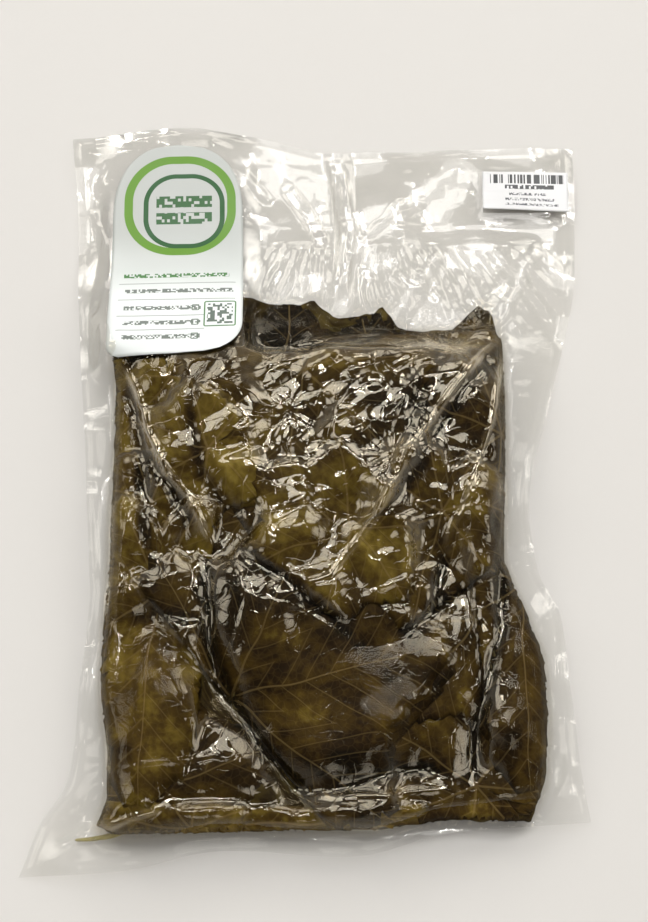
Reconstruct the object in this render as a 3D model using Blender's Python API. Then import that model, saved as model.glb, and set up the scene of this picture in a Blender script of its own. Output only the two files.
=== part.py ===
"""A vacuum pouch packed with brined vine leaves, lying on its back.

The frame has +X to the pouch's right, +Y towards its unfilled end and +Z up, off the shown side.
Its origin is the middle of the pouch's outline, on the surface that the pouch lies on.
Sizes below are in millimetres; meshes are in metres.
"""

import math

import bmesh
import bpy
import numpy as np
from mathutils import Vector, noise

MM = 0.001

# Pouch: edges of the film seen from above, each from its first corner to its last
LEFT_EDGE = [
    (-127.5, -179), (-118, -155), (-107.5, -138), (-104.5, -104), (-101.5, -59),
    (-102.5, -43), (-107.5, 23), (-112.5, 72), (-116.5, 137), (-120.5, 173),
]
RIGHT_EDGE = [
    (120.5, -156), (117.5, -136), (114.5, -103), (111.5, -68), (107, -57), (101, -43),
    (99.5, -7), (110.5, 35), (123.5, 85), (127, 131), (127.5, 168),
]
BOTTOM_EDGE = [
    (-127.5, -179), (-81.5, -176), (-49.5, -169), (-27.5, -168), (19.5, -170),
    (54.5, -161), (89.5, -158), (120.5, -156),
]
TOP_EDGE = [(-120.5, 173), (-57.5, 179), (2.5, 165), (29.5, 166), (127.5, 168)]
FILM_MARGIN = 1.0  # both films with the air left between them
MARGIN_REST = 2.2  # height of the film's upper face far from the leaves
MARGIN_LIFT = 7.0  # how far the film rises where it leaves the pressed leaves
MARGIN_FALL = 18.0  # over this distance it comes down again
MARGIN_LOWEST = 1.3

# Pressed leaves: the pile's outline, anticlockwise from the lower left corner
LEAF_OUTLINE = [
    (-98, -161), (-88, -163), (-42, -161), (28, -160), (59, -156), (94, -157),
    (101, -138), (103, -113), (103, -87), (95, -65), (86, -42), (88, 0), (89, 33), (89, 60),
    (83, 77), (73, 75), (66, 68), (39, 70), (32, 80), (28, 75), (10, 73), (-1, 82),
    (-7, 80), (-33, 82), (-60, 81), (-88, 76),
    (-94, 50), (-93, 14), (-93, -42), (-95, -69), (-95, -96), (-91, -126), (-90, -147),
]
PILE_HEIGHT = 25.0
SIDE_RAMP_LOWER_END = 13.0  # width of the rounded side at the lower end of the pile
SIDE_RAMP_UPPER_END = 26.0  # and at its looser upper end
SIDE_RAMP_GROWS = (10.0, 70.0)  # the width grows between these places along the pile
SIDE_ROUNDNESS = 2.4  # power of the side's curve: the higher, the steeper at the outline
UNDER_RAMP = 10.0

# Swells of the pile: middle, half-axes and height
SWELLS = [
    ((8, 12), (60, 44), 3.0),
    ((12, -102), (52, 36), 2.6),
    ((-70, -100), (20, 58), 2.0),
    ((92, -108), (14, 48), 1.5),
    ((-66, 30), (20, 30), 1.8),
    ((62, -20), (22, 30), 1.2),
    ((-30, -48), (26, 20), 1.0),
]

# Valleys between folded leaves and ridges of pleated film: route, height and half-width
VALLEYS = [
    ([(-79, 22), (-76, -16), (-72, -48)], 4.5, 7.0),
    ([(-50, -36), (-46, -79), (-40, -101), (-22, -124), (-5, -143)], 6.5, 6.5),
    ([(-5, -143), (24, -138), (44, -131)], 4.0, 6.0),
    ([(58, -46), (51, -72)], 3.5, 6.5),
    ([(83, -43), (81, -79), (70, -113), (66, -147)], 5.0, 6.5),
    ([(-34, 64), (0, 62), (32, 65)], 6.0, 8.0),
    ([(32, 65), (62, 62)], 3.0, 7.0),
    ([(-86, -72), (-62, -68)], 2.0, 6.0),
]
RIDGES = [
    ([(-87, 48), (-81, 35), (-74, 11), (-65, -5), (-55, -16), (-48, -33), (-38, -40)], 2.6, 5.0),
    ([(86, 64), (71, 44), (57, 25), (41, 2), (27, -26), (7, -51), (-10, -57)], 3.0, 5.0),
    ([(80, 40), (70, 6), (58, -26), (51, -37)], 2.0, 4.5),
    ([(-48, 30), (-20, 47), (12, 56), (33, 66)], 2.0, 4.5),
    ([(11, 162), (15, 140), (18, 118), (12, 85)], 4.5, 6.0),
    ([(-72, 172), (-48, 150), (-28, 132)], 3.0, 6.0),
    ([(34, 68), (48, 92), (58, 110)], 3.0, 6.0),
    ([(82, 72), (96, 92), (104, 112)], 3.0, 6.0),
    ([(-8, -152), (24, -146), (62, -143)], 2.5, 5.0),
    ([(-80, -151), (-52, -138)], 2.5, 5.0),
    ([(-98, -165), (-112, -172)], 2.5, 6.0),
    ([(70, -158), (52, -161), (18, -169)], 2.0, 5.0),
    ([(20, -62), (44, -50), (58, -46)], 2.0, 5.0),
]

# Uneven waves of the film and of the pressed pile: wavelength, half-height and seed
FILM_WAVE = (26.0, 1.8, 1.3)
PILE_WAVE = (30.0, 1.6, 4.1)
PILE_RIPPLE = (13.0, 0.9, 7.7)

# Mesh of the pouch: faces across and along
ACROSS = 46
ALONG = 63

# Labels: paper on the upper film
LABEL_GAP = 0.55
LABEL_THICKNESS = 0.35
FRONT_MIDDLE = (-66.0, 111.0)
FRONT_WIDTH = 63.0
FRONT_LENGTH = 114.0
FRONT_TILT = math.radians(1.5)
FRONT_ARCH = 40.0  # length of the arched end
FRONT_ARCH_POWER = 2.4  # 2 is an ellipse, more is squarer
FRONT_ARCH_CUT = 0.985  # the arch ends flat at this share of its length
FRONT_CORNER = 9.0
FRONT_FACES = (10, 26)
PRICE_MIDDLE = (103.0, 143.0)
PRICE_WIDTH = 42.0
PRICE_LENGTH = 21.0
PRICE_TILT = math.radians(-1.0)
LABEL_MARGIN = 9.0  # the film turns from waved to smooth over this distance round a label
# Height of the taut film under the front label, from the pile's top out to the unfilled end
FRONT_BED = [(40, 27.5), (58, 26), (74, 19.5), (90, 12.5), (110, 7), (140, 4.5), (180, 3.2)]
PRICE_BED = 3.6
PRICE_CURL = 2.6  # how far its lower left corner has come away
PRICE_FACES = (12, 8)
CURVE_STEPS = 12  # straight stretches between two points of an edge
SHARP_ANGLE = math.radians(50)

FILM_COLOR = (0.70, 0.69, 0.66, 1.0)
LEAF_COLOR = (0.075, 0.052, 0.020, 1.0)
PAPER_COLOR = (0.80, 0.80, 0.78, 1.0)
FILM_ROUGHNESS = 0.15
LEAF_ROUGHNESS = 0.35
PAPER_ROUGHNESS = 0.45


def clear_scene():
    for obj in list(bpy.data.objects):
        bpy.data.objects.remove(obj, do_unlink=True)


def material(name, color, roughness):
    made = bpy.data.materials.new(name)
    made.use_nodes = True
    shader = made.node_tree.nodes["Principled BSDF"]
    shader.inputs["Base Color"].default_value = color
    shader.inputs["Roughness"].default_value = roughness
    shader.inputs["Metallic"].default_value = 0.0
    made.diffuse_color = color
    return made


def smooth_step(t):
    t = np.clip(t, 0.0, 1.0)
    return t * t * (3.0 - 2.0 * t)


def along_edge(points, share):
    """Points at the given shares of the length of a smooth curve through the points."""
    points = np.array(points, float)
    ends = 2 * points[0] - points[1], 2 * points[-1] - points[-2]
    padded = np.vstack([ends[0], points, ends[1]])
    dense = []
    for before, start, end, after in zip(padded, padded[1:], padded[2:], padded[3:]):
        for t in np.linspace(0.0, 1.0, CURVE_STEPS, endpoint=False):
            dense.append(
                0.5 * (2 * start + (end - before) * t
                       + (2 * before - 5 * start + 4 * end - after) * t**2
                       + (3 * start - before - 3 * end + after) * t**3)
            )
    dense = np.array(dense + [points[-1]])
    steps = np.hypot(*np.diff(dense, axis=0).T)
    length = np.concatenate([[0.0], np.cumsum(steps)]) / steps.sum()
    return np.stack([np.interp(share, length, dense[:, k]) for k in (0, 1)], axis=-1)


def pouch_plan(s, t):
    """Where the share s across and t along the pouch lies: a patch between its four edges."""
    s = s[:, None]
    t = t[:, None]
    left = along_edge(LEFT_EDGE, t[:, 0])
    right = along_edge(RIGHT_EDGE, t[:, 0])
    low = along_edge(BOTTOM_EDGE, s[:, 0])
    top = along_edge(TOP_EDGE, s[:, 0])
    corners = np.array([LEFT_EDGE[0], RIGHT_EDGE[0], LEFT_EDGE[-1], RIGHT_EDGE[-1]], float)
    flat = (
        (1 - s) * (1 - t) * corners[0] + s * (1 - t) * corners[1]
        + (1 - s) * t * corners[2] + s * t * corners[3]
    )
    return (1 - s) * left + s * right + (1 - t) * low + t * top - flat


def distance_to_route(plan, route):
    """Distance from each point of the plan to a polyline."""
    nearest = np.full(len(plan), np.inf)
    route = np.array(route, float)
    for start, end in zip(route, route[1:]):
        leg = end - start
        share = np.clip((plan - start) @ leg / (leg @ leg), 0.0, 1.0)
        nearest = np.minimum(nearest, np.hypot(*(plan - start - share[:, None] * leg).T))
    return nearest


def depth_in_pile(plan):
    """Distance to the pile's outline, more than 0 inside it."""
    outline = LEAF_OUTLINE + LEAF_OUTLINE[:1]
    inside = np.zeros(len(plan), bool)
    for (x0, y0), (x1, y1) in zip(outline, outline[1:]):
        crosses = (y0 > plan[:, 1]) != (y1 > plan[:, 1])
        if y0 != y1:
            inside ^= crosses & (plan[:, 0] < x0 + (plan[:, 1] - y0) * (x1 - x0) / (y1 - y0))
    return np.where(inside, 1.0, -1.0) * distance_to_route(plan, outline)


def wave(plan, wavelength, half_height, seed):
    """Uneven waves, the same each time."""
    heights = [noise.noise(Vector((x / wavelength, y / wavelength, seed))) for x, y in plan]
    return 2.0 * half_height * np.array(heights)


def side_profile(share):
    """Rises from 0 to 1: steep at the outline, level at the ramp's end."""
    return 1.0 - (1.0 - np.clip(share, 0.0, 1.0)) ** SIDE_ROUNDNESS


def in_label(plan, middle, tilt):
    """A point's place in a label's own frame."""
    offset = plan - np.array(middle)
    across = offset[:, 0] * math.cos(tilt) + offset[:, 1] * math.sin(tilt)
    along = offset[:, 1] * math.cos(tilt) - offset[:, 0] * math.sin(tilt)
    return across, along


def bed_share(plan, middle, width, length, tilt):
    """1 under a label, falling to 0 over the margin round it."""
    across, along = in_label(plan, middle, tilt)
    beyond = np.maximum(np.abs(across) - width / 2, np.abs(along) - length / 2)
    return 1.0 - smooth_step(beyond / LABEL_MARGIN)


def front_bed(plan):
    heights = np.array(FRONT_BED, float)
    return np.interp(plan[:, 1], heights[:, 0], heights[:, 1])


def upper_face(plan, depth):
    """Height of the shown film."""
    margin = MARGIN_REST + MARGIN_LIFT * np.exp(np.minimum(depth, 0.0) / MARGIN_FALL)
    margin += wave(plan, *FILM_WAVE)
    grows_from, grows_to = SIDE_RAMP_GROWS
    upper_end = smooth_step((plan[:, 1] - grows_from) / (grows_to - grows_from))
    ramp = SIDE_RAMP_LOWER_END + (SIDE_RAMP_UPPER_END - SIDE_RAMP_LOWER_END) * upper_end
    pile = PILE_HEIGHT + wave(plan, *PILE_WAVE) + wave(plan, *PILE_RIPPLE)
    for middle, axes, height in SWELLS:
        far = (((plan - np.array(middle)) / np.array(axes)) ** 2).sum(axis=1)
        pile += height * np.exp(-far)
    for route, height, half_width in VALLEYS:
        pile -= height * np.exp(-(distance_to_route(plan, route) / half_width) ** 2)
    top = margin + (pile - margin) * side_profile(depth / ramp)
    for route, height, half_width in RIDGES:
        top += height * np.clip(1.0 - distance_to_route(plan, route) / half_width, 0.0, 1.0)
    for bed, label in (
        (front_bed(plan), (FRONT_MIDDLE, FRONT_WIDTH, FRONT_LENGTH, FRONT_TILT)),
        (PRICE_BED, (PRICE_MIDDLE, PRICE_WIDTH, PRICE_LENGTH, PRICE_TILT)),
    ):
        share = bed_share(plan, *label)
        top = top * (1.0 - share) + bed * share
    return np.maximum(top, MARGIN_LOWEST)


def under_face(top, depth):
    """Height of the film underneath: level under the pile, with the upper film beyond it."""
    hanging = np.minimum(top - FILM_MARGIN, MARGIN_REST + MARGIN_LIFT)
    return hanging * (1.0 - side_profile(depth / UNDER_RAMP))


def set_heights(verts, plan, heights):
    for vert, (x, y), z in zip(verts, plan, heights):
        vert.co = Vector((x, y, z)) * MM


def sheet(name, faces, plan_of, faces_of, materials):
    """A thin closed solid from a grid: its lower face, then a copy of it raised for the upper."""
    mesh = bmesh.new()
    bmesh.ops.create_grid(mesh, x_segments=faces[0], y_segments=faces[1], size=1.0)
    bmesh.ops.triangulate(mesh, faces=mesh.faces, quad_method="SHORT_EDGE")
    shares = np.array([((v.co.x + 1) / 2, (v.co.y + 1) / 2) for v in mesh.verts])
    plan = plan_of(shares[:, 0], shares[:, 1])
    lower, upper = faces_of(plan)
    lower_verts = list(mesh.verts)
    raised = bmesh.ops.extrude_face_region(mesh, geom=list(mesh.faces))["geom"]
    upper_verts = [part for part in raised if isinstance(part, bmesh.types.BMVert)]
    partner = {tuple(vert.co): k for k, vert in enumerate(lower_verts)}
    order = [partner[tuple(vert.co)] for vert in upper_verts]
    set_heights(upper_verts, plan[order], upper[order])
    set_heights(lower_verts, plan, lower)
    bmesh.ops.recalc_face_normals(mesh, faces=mesh.faces)
    data = bpy.data.meshes.new(name)
    mesh.to_mesh(data)
    mesh.free()
    for surface in materials:
        data.materials.append(surface)
    data.shade_smooth()
    data.set_sharp_from_angle(angle=SHARP_ANGLE)
    return bpy.data.objects.new(name, data)


def vacuum_bag():
    def faces_of(plan):
        depth = depth_in_pile(plan)
        top = upper_face(plan, depth)
        return under_face(top, depth), top

    film = material("clear_film", FILM_COLOR, FILM_ROUGHNESS)
    leaf = material("brined_leaf", LEAF_COLOR, LEAF_ROUGHNESS)
    bag = sheet("vacuum_bag", (ACROSS, ALONG), pouch_plan, faces_of, [film, leaf])
    middles = np.array([face.center[:2] for face in bag.data.polygons]) / MM
    for face, depth in zip(bag.data.polygons, depth_in_pile(middles)):
        face.material_index = int(depth > 0)
    return bag


def label_plan(middle, tilt, across, along):
    """Places on the pouch of points given in a label's own frame."""
    x = middle[0] + across * math.cos(tilt) - along * math.sin(tilt)
    y = middle[1] + along * math.cos(tilt) + across * math.sin(tilt)
    return np.stack([x, y], axis=-1)


def front_half_width(along):
    """Half the front label's width at a height: round lower corners and an arched upper end."""
    from_low = along + FRONT_LENGTH / 2
    half = FRONT_WIDTH / 2
    corner = np.clip(1.0 - from_low / FRONT_CORNER, 0.0, 1.0)
    half = half - FRONT_CORNER * (1.0 - np.sqrt(1.0 - corner**2))
    arch = (along - FRONT_LENGTH / 2 + FRONT_ARCH) / FRONT_ARCH
    arch = np.clip(arch, 0.0, FRONT_ARCH_CUT)
    return half * (1.0 - arch**FRONT_ARCH_POWER) ** (1 / FRONT_ARCH_POWER)


def front_label():
    def plan_of(s, t):
        along = (t - 0.5) * FRONT_LENGTH
        across = (2 * s - 1) * front_half_width(along)
        return label_plan(FRONT_MIDDLE, FRONT_TILT, across, along)

    def faces_of(plan):
        low = upper_face(plan, depth_in_pile(plan)) + LABEL_GAP
        return low, low + LABEL_THICKNESS

    paper = material("label_paper", PAPER_COLOR, PAPER_ROUGHNESS)
    return sheet("front_label", FRONT_FACES, plan_of, faces_of, [paper])


def price_label():
    def plan_of(s, t):
        return label_plan(
            PRICE_MIDDLE, PRICE_TILT, (s - 0.5) * PRICE_WIDTH, (t - 0.5) * PRICE_LENGTH
        )

    def faces_of(plan):
        across, along = in_label(plan, PRICE_MIDDLE, PRICE_TILT)
        leftward = smooth_step(0.5 - across / PRICE_WIDTH)
        loose = leftward * np.clip(-2 * along / PRICE_LENGTH, 0.0, 1.0)
        low = PRICE_BED + LABEL_GAP + PRICE_CURL * loose
        return low, low + LABEL_THICKNESS

    paper = material("price_paper", PAPER_COLOR, PAPER_ROUGHNESS)
    return sheet("price_label", PRICE_FACES, plan_of, faces_of, [paper])


def main():
    clear_scene()
    pack = bpy.data.collections.new("vacuum_pack_of_vine_leaves")
    bpy.context.scene.collection.children.link(pack)
    pieces = [vacuum_bag(), front_label(), price_label()]
    corners = np.array([vert.co for piece in pieces for vert in piece.data.vertices])
    middle = (corners.min(axis=0) + corners.max(axis=0)) / 2
    for piece in pieces:
        for vert in piece.data.vertices:
            vert.co -= Vector((middle[0], middle[1], 0.0))
        pack.objects.link(piece)


main()
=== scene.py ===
"""Looks of a vacuum pack of brined vine leaves: its film, leaves and labels, and a plain stage."""

import math

import bmesh
import bpy
import numpy as np
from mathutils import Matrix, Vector
from mathutils.bvhtree import BVHTree


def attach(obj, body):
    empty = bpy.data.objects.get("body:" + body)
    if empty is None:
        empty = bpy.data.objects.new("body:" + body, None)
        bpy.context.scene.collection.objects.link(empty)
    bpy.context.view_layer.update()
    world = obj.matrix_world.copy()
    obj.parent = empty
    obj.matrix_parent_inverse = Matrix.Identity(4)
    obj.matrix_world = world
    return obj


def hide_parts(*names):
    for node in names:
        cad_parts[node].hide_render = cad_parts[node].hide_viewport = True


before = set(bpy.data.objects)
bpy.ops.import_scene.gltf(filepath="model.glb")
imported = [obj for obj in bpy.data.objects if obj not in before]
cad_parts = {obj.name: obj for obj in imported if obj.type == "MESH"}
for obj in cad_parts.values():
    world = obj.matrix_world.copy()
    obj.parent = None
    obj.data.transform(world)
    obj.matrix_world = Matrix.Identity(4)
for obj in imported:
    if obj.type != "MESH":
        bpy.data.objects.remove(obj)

bl_info = {
    "name": "Vacuum Pack of Vine Leaves",
    "version": (1, 0, 0),
    "blender": (4, 5, 0),
    "location": "View3D > Sidebar > Vine Pack",
    "description": "Builds a clear vacuum pouch of brined vine leaves round its packed solids",
    "category": "Add Mesh",
}

# Sizes in this script are in millimetres unless a comment or a unit says otherwise
MM = 0.001
BODY = "root"
BAG_NODE = "vacuum_bag"

# The pouch's edges seen from above, as its solid has them, from low to high and left to right
LEFT_EDGE = [
    (-127.5, -179), (-118, -155), (-107.5, -138), (-104.5, -104), (-101.5, -59),
    (-102.5, -43), (-107.5, 23), (-112.5, 72), (-116.5, 137), (-120.5, 173),
]
RIGHT_EDGE = [
    (120.5, -156), (117.5, -136), (114.5, -103), (111.5, -68), (107, -57), (101, -43),
    (99.5, -7), (110.5, 35), (123.5, 85), (127, 131), (127.5, 168),
]
BOTTOM_EDGE = [
    (-127.5, -179), (-81.5, -176), (-49.5, -169), (-27.5, -168), (19.5, -170),
    (54.5, -161), (89.5, -158), (120.5, -156),
]
TOP_EDGE = [(-120.5, 173), (-57.5, 179), (2.5, 165), (29.5, 166), (127.5, 168)]
CURVE_STEPS = 12

# The pile's outline, as its solid has it
LEAF_OUTLINE = [
    (-94, -158), (-86, -162), (-42, -161), (28, -160), (59, -156), (94, -157),
    (101, -138), (103, -113), (103, -87), (95, -65), (86, -42), (88, 0), (89, 33), (89, 62),
    (84, 80), (79, 84), (73, 78), (66, 71), (50, 70), (39, 73), (32, 84), (28, 79), (10, 77),
    (3, 83), (-1, 87), (-7, 83), (-20, 84), (-33, 86), (-60, 84), (-88, 78),
    (-94, 50), (-93, 14), (-93, -42), (-95, -69), (-95, -96), (-91, -126), (-90, -147),
]
PILE_RING = LEAF_OUTLINE + LEAF_OUTLINE[:1]
PILE_MIDDLE = (0.0, -42.0)
PILE_HALF_SIZE = (96.0, 120.0)
CORE_FACES = (110, 140)

# Veins of a leaf: turn between the main ones and slant of the side ones in degrees, and their step
MAIN_VEIN_TURN = 52.4
SIDE_VEIN_SLANT = 46.0
SIDE_VEIN_STEP = 11.0
LEAF_THICKNESS = 0.4
LEAF_GAP = 0.2  # between one leaf and what it lies on
PAPER_THICKNESS = 0.12

# Leaves on the pile's top, lowest first: petiole, heading of the tip in degrees, length from
# petiole to tip, tint from dark brown to yellow, lift over what lies below, and a fold line
# as a point and the heading of the side folded under
TOP_LEAVES = [
    # The first two, at the pile's top end, are tinted darkest: partly the leaves' own dark brown,
    # partly painted shade for the shadowed fold there
    ((-14, 40), 88, 48, 0.08, 0.6, None),
    ((28, 34), 98, 50, 0.12, 0.6, None),
    ((-62, 45), 60, 42, 0.35, 0.6, None),
    ((70, 38), 82, 42, 0.45, 0.6, None),
    ((86, 30), -100, 62, 0.35, 0.6, None),
    ((70, -140), 150, 66, 0.45, 0.8, None),
    ((-78, -146), 20, 70, 0.42, 0.8, None),
    ((-30, -158), 4, 84, 0.72, 0.9, ((0, -149), 91)),
    ((-52, -158), 176, 52, 0.66, 0.9, ((0, -150), 88)),
    ((-78, 34), -86, 84, 0.45, 0.9, None),
    ((60, 54), -82, 88, 0.42, 0.9, ((0, 66), 92)),
    ((84, 14), -95, 80, 0.38, 1.0, None),
    ((-12, -20), -60, 74, 0.45, 1.0, None),
    ((-66, 40), -78, 62, 0.76, 1.1, ((0, 50), 90)),
    ((-6, 44), -96, 92, 0.50, 1.2, ((0, 56), 91)),
    ((-48, 6), -150, 46, 0.74, 0.9, None),
    ((-74, -18), -96, 54, 0.56, 1.0, ((-60, -40), 8)),
    ((-70, -58), -93, 98, 0.62, 1.5, ((-48, -90), -4)),
    ((-27, -64), -104, 34, 0.84, 0.9, None),
    ((70, -70), -72, 62, 0.44, 1.0, None),
    ((92, -52), -90, 98, 0.46, 1.6, ((72, -90), 184)),
    ((-36, -104), 14, 104, 0.45, 1.8, ((-22, -124), -141)),
    ((56, -22), -104, 62, 0.55, 1.1, ((52, -66), -56)),
    ((16, -30), -158, 58, 0.66, 1.2, ((-2, -62), -129)),
]
LEAF_COPIES = 2  # thinner leaves under each, turned a little
COPY_TURN = 9.0
COPY_SHIFT = 5.0
COPY_LIFT = 0.35

# Crevices between the folded leaves: route, depth and half-width
GROOVES = [
    ([(-79, 20), (-76, -16), (-73, -46)], 5.0, 2.6),
    ([(-50, -36), (-47, -60), (-46, -79), (-40, -101), (-22, -124), (-6, -143), (7, -146)],
     6.5, 3.0),
    ([(4, -146), (24, -138), (41, -133), (58, -136)], 5.0, 2.6),
    ([(60, -40), (56, -52), (51, -70)], 4.5, 2.4),
    ([(80, -34), (83, -60), (81, -79), (72, -108), (66, -147)], 5.5, 2.8),
    ([(-29, -39), (-14, -52), (2, -63), (26, -84), (34, -86)], 4.0, 2.4),
    ([(34, -82), (55, -64), (76, -47)], 3.5, 2.4),
    ([(-86, -70), (-66, -68), (-46, -71)], 3.0, 2.0),
    ([(-36, 58), (-8, 57), (20, 60), (36, 68)], 4.0, 2.6),
    ([(-52, 44), (-56, 20), (-50, -6), (-38, -24)], 3.0, 2.4),
    ([(48, 44), (44, 16), (52, -10)], 3.0, 2.2),
    ([(-92, 48), (-84, 32), (-78, 9), (-69, -7), (-59, -19), (-53, -34)], 5.0, 2.8),
    ([(88, 60), (75, 42), (61, 22), (46, -1), (32, -28)], 4.5, 2.6),
    ([(-84, 74), (-82, 58), (-86, 44)], 4.0, 3.0),
    ([(86, -4), (82, -22), (80, -36)], 4.5, 2.6),
    ([(14, 8), (26, -2), (38, -14)], 3.0, 2.2),
]

# The stalk that sticks out of the pile, seen from above, its heights and its radii
STEM_ROUTE = [(-76, -156), (-86, -161), (-96, -163), (-104, -163.5)]
STEM_HEIGHTS = [7.0, 4.5, 3.0]
STEM_RADII = [0.0, 1.6, 1.2, 0.7, 0.0]

# Pleats of the film: route, height, half-width and whether it is a flat band of doubled film
PLEATS = [
    ([(-89, 54), (-87, 48), (-81, 35), (-74, 11), (-65, -5), (-55, -16), (-48, -33), (-38, -40)],
     2.0, 2.1, True),
    ([(90, 70), (86, 64), (71, 44), (57, 25), (41, 2), (27, -26), (7, -51), (-10, -57)],
     2.0, 2.1, True),
    ([(88, 58), (80, 20), (68, -18), (56, -38)], 1.5, 1.6, True),
    ([(-48, 30), (-20, 47), (12, 56), (33, 66)], 1.2, 1.6, False),
    ([(-28, 52), (-6, 60), (36, 68)], 0.9, 1.3, False),
    ([(-80, -8), (-85, -42), (-68, -72), (-48, -84)], 0.9, 1.4, False),
    ([(-86, -38), (-87, -104)], 0.7, 1.2, False),
    ([(-6, -146), (24, -145), (62, -142)], 1.2, 1.6, False),
    ([(-84, -134), (-40, -128)], 0.8, 1.4, False),
    ([(-92, -160), (-62, -149)], 1.2, 2.0, True),
    ([(8, -170), (28, -165), (60, -154)], 1.0, 1.6, False),
    ([(-43, -52), (-28, -60), (-6, -66), (16, -80)], 0.9, 1.3, False),
    ([(20, -62), (44, -50), (60, -44)], 0.9, 1.3, False),
    ([(-34, -44), (-30, -62), (-36, -86)], 0.8, 1.3, False),
]

# Pleats of the margins and the unfilled end, in the same form
FREE_PLEATS = [
    ([(8, 168), (11, 152), (16, 124), (13, 97), (12, 84)], 3.6, 4.2, True),
    ([(-16, 150), (-3, 130), (6, 114)], 2.0, 3.6, True),
    ([(-54, 176), (-40, 158), (-20, 136)], 2.4, 3.4, False),
    ([(13, 108), (12, 88)], 1.8, 2.6, True),
    ([(24, 106), (20, 76)], 2.0, 2.8, True),
    ([(37, 101), (60, 80)], 2.0, 2.8, True),
    ([(49, 101), (60, 84)], 1.6, 2.4, False),
    ([(24, 117), (41, 136), (56, 140)], 1.8, 3.0, False),
    ([(104, 99), (92, 80), (84, 66)], 1.6, 2.6, False),
    ([(-108, 80), (-96, 62), (-88, 52)], 1.8, 3.0, True),
    ([(-110, 136), (-100, 110)], 1.2, 2.2, False),
    ([(100, -50), (112, -66), (108, -88)], 1.6, 2.6, False),
    ([(112, -120), (104, -146), (96, -158)], 1.2, 2.2, False),
    ([(-112, -168), (-98, -160), (-80, -156)], 1.4, 2.6, True),
]

# Stars of creases, from a point where the film was pinched: middle and reach
STARS = [((63, -22), 32), ((35, 2), 36), ((-12, 24), 22), ((64, 58), 26), ((-52, -16), 22)]
STAR_SEED = 300
STAR_RAYS = 11

# Where the film is crushed most: middle, half-axes and amount
CRUSHED = [
    ((-8, 12), (50, 44), 1.0),
    ((44, -14), (42, 40), 0.8),
    ((-10, -60), (44, 22), 0.5),
    ((60, 50), (40, 30), 0.7),
    ((-60, -20), (30, 50), 0.5),
    ((0, -150), (90, 16), 0.5),
    ((46, -62), (26, 14), 0.6),
]
CRUSHED_ELSEWHERE = 0.28
CRUSH_HEADING = 24.0  # the way that its creases mostly run, in degrees

# Where the film lies smoothly: middle and half-axes
CALM = [
    ((16, -104), (46, 32)), ((-72, -108), (16, 40)), ((92, -104), (10, 44)), ((4, 74), (48, 14)),
]

# The unfilled end: a flat seal band across it, and the fan of folds between it and the pile
SEAL_Y = 120.5
SEAL_HALF_WIDTH = 4.0
FAN_MIDDLE_Y = 92.0
FAN_REACH = 34.0
FAN_POINT = (14.0, 210.0)
FAN_FOLDS = 17

# Spans that turn shares across and along the pouch into distances from its edges
POUCH_SPANS = (240.0, 350.0)
PILE_AROUND = 900.0  # length of the pile's outline

# The labels: middle, width and length, and turn in degrees
LABELS = [((-66.0, 109.5), (63.0, 117.0), 1.5), ((103.0, 143.0), (42.0, 21.0), -1.0)]

# Soft panels of light in the room: direction, reach in degrees and strength
SOFT_PANELS = [
    ((-0.48, 0.72, 0.58), 17, 5.0),
    ((0.55, 0.68, 0.55), 16, 5.0),
    ((-0.80, 0.05, 0.62), 15, 4.0),
    ((0.82, -0.08, 0.58), 15, 4.0),
    ((0.10, -0.72, 0.68), 15, 3.0),
    ((0.04, 0.90, 0.36), 14, 3.8),
    ((-0.24, 0.76, 0.62), 4.0, 14.0),
    ((0.32, 0.46, 0.82), 3.5, 14.0),
    ((-0.46, 0.36, 0.82), 3.5, 14.0),
    ((0.52, 0.08, 0.86), 3.5, 12.0),
    ((0.22, 0.86, 0.44), 4.0, 14.0),
]

# Lamps: place and size in metres, and power in watts
LAMPS = [
    ("broad", (0.1, 0.96, 2.4), (1.45, 0.95), 17.5),
    ("strip", (-0.56, 0.76, 2.5), (0.1, 0.6), 7.6),
    ("lamp", (0.68, 1.24, 2.3), (0.44, 0.12), 7.6),
]
CAMERA_TARGET = (4.4, 7.6, 0.0)
FLOOR_HALF = 2.0  # metres
FLOOR_DROP = 0.2

# Square grid over the plan, for heights
GRID_STEP = 1.0
GRID_X = (-134.0, 134.0)
GRID_Y = (-186.0, 186.0)


def smooth_step(t):
    """0 up to 0, rising smoothly to 1 at 1 and beyond."""
    t = np.clip(t, 0.0, 1.0)
    return t * t * (3.0 - 2.0 * t)


def bump(t):
    """1 at 0, falling smoothly to 0 at 1 and beyond."""
    return 1.0 - smooth_step(np.abs(t))


def hashed(column, row, seed):
    """Even random numbers from 0 to 1, one for each whole-number cell."""
    n = (column * 374761393 + row * 668265263 + seed * 974634777) & 0xFFFFFFFF
    n = ((n ^ (n >> 13)) * 1274126177) & 0xFFFFFFFF
    n = ((n ^ (n >> 15)) * 2246822519) & 0xFFFFFFFF
    return ((n ^ (n >> 16)) & 0xFFFFFF) / 0xFFFFFF


def soft_noise(x, y, scale, seed):
    """Smooth noise from about -1 to 1 with its bumps about one scale apart."""
    x, y = turned(x / scale, y / scale, 33.0 + 61.0 * seed)
    column = np.floor(x).astype(np.int64)
    row = np.floor(y).astype(np.int64)
    fx = x - column
    fy = y - row
    corners = []
    for side in (0, 1):
        for end in (0, 1):
            aim = 2 * math.pi * hashed(column + side, row + end, seed)
            corners.append(np.cos(aim) * (fx - side) + np.sin(aim) * (fy - end))
    near = corners[0] * (1 - smooth_step(fy)) + corners[1] * smooth_step(fy)
    far = corners[2] * (1 - smooth_step(fy)) + corners[3] * smooth_step(fy)
    return 1.5 * (near * (1 - smooth_step(fx)) + far * smooth_step(fx))


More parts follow.
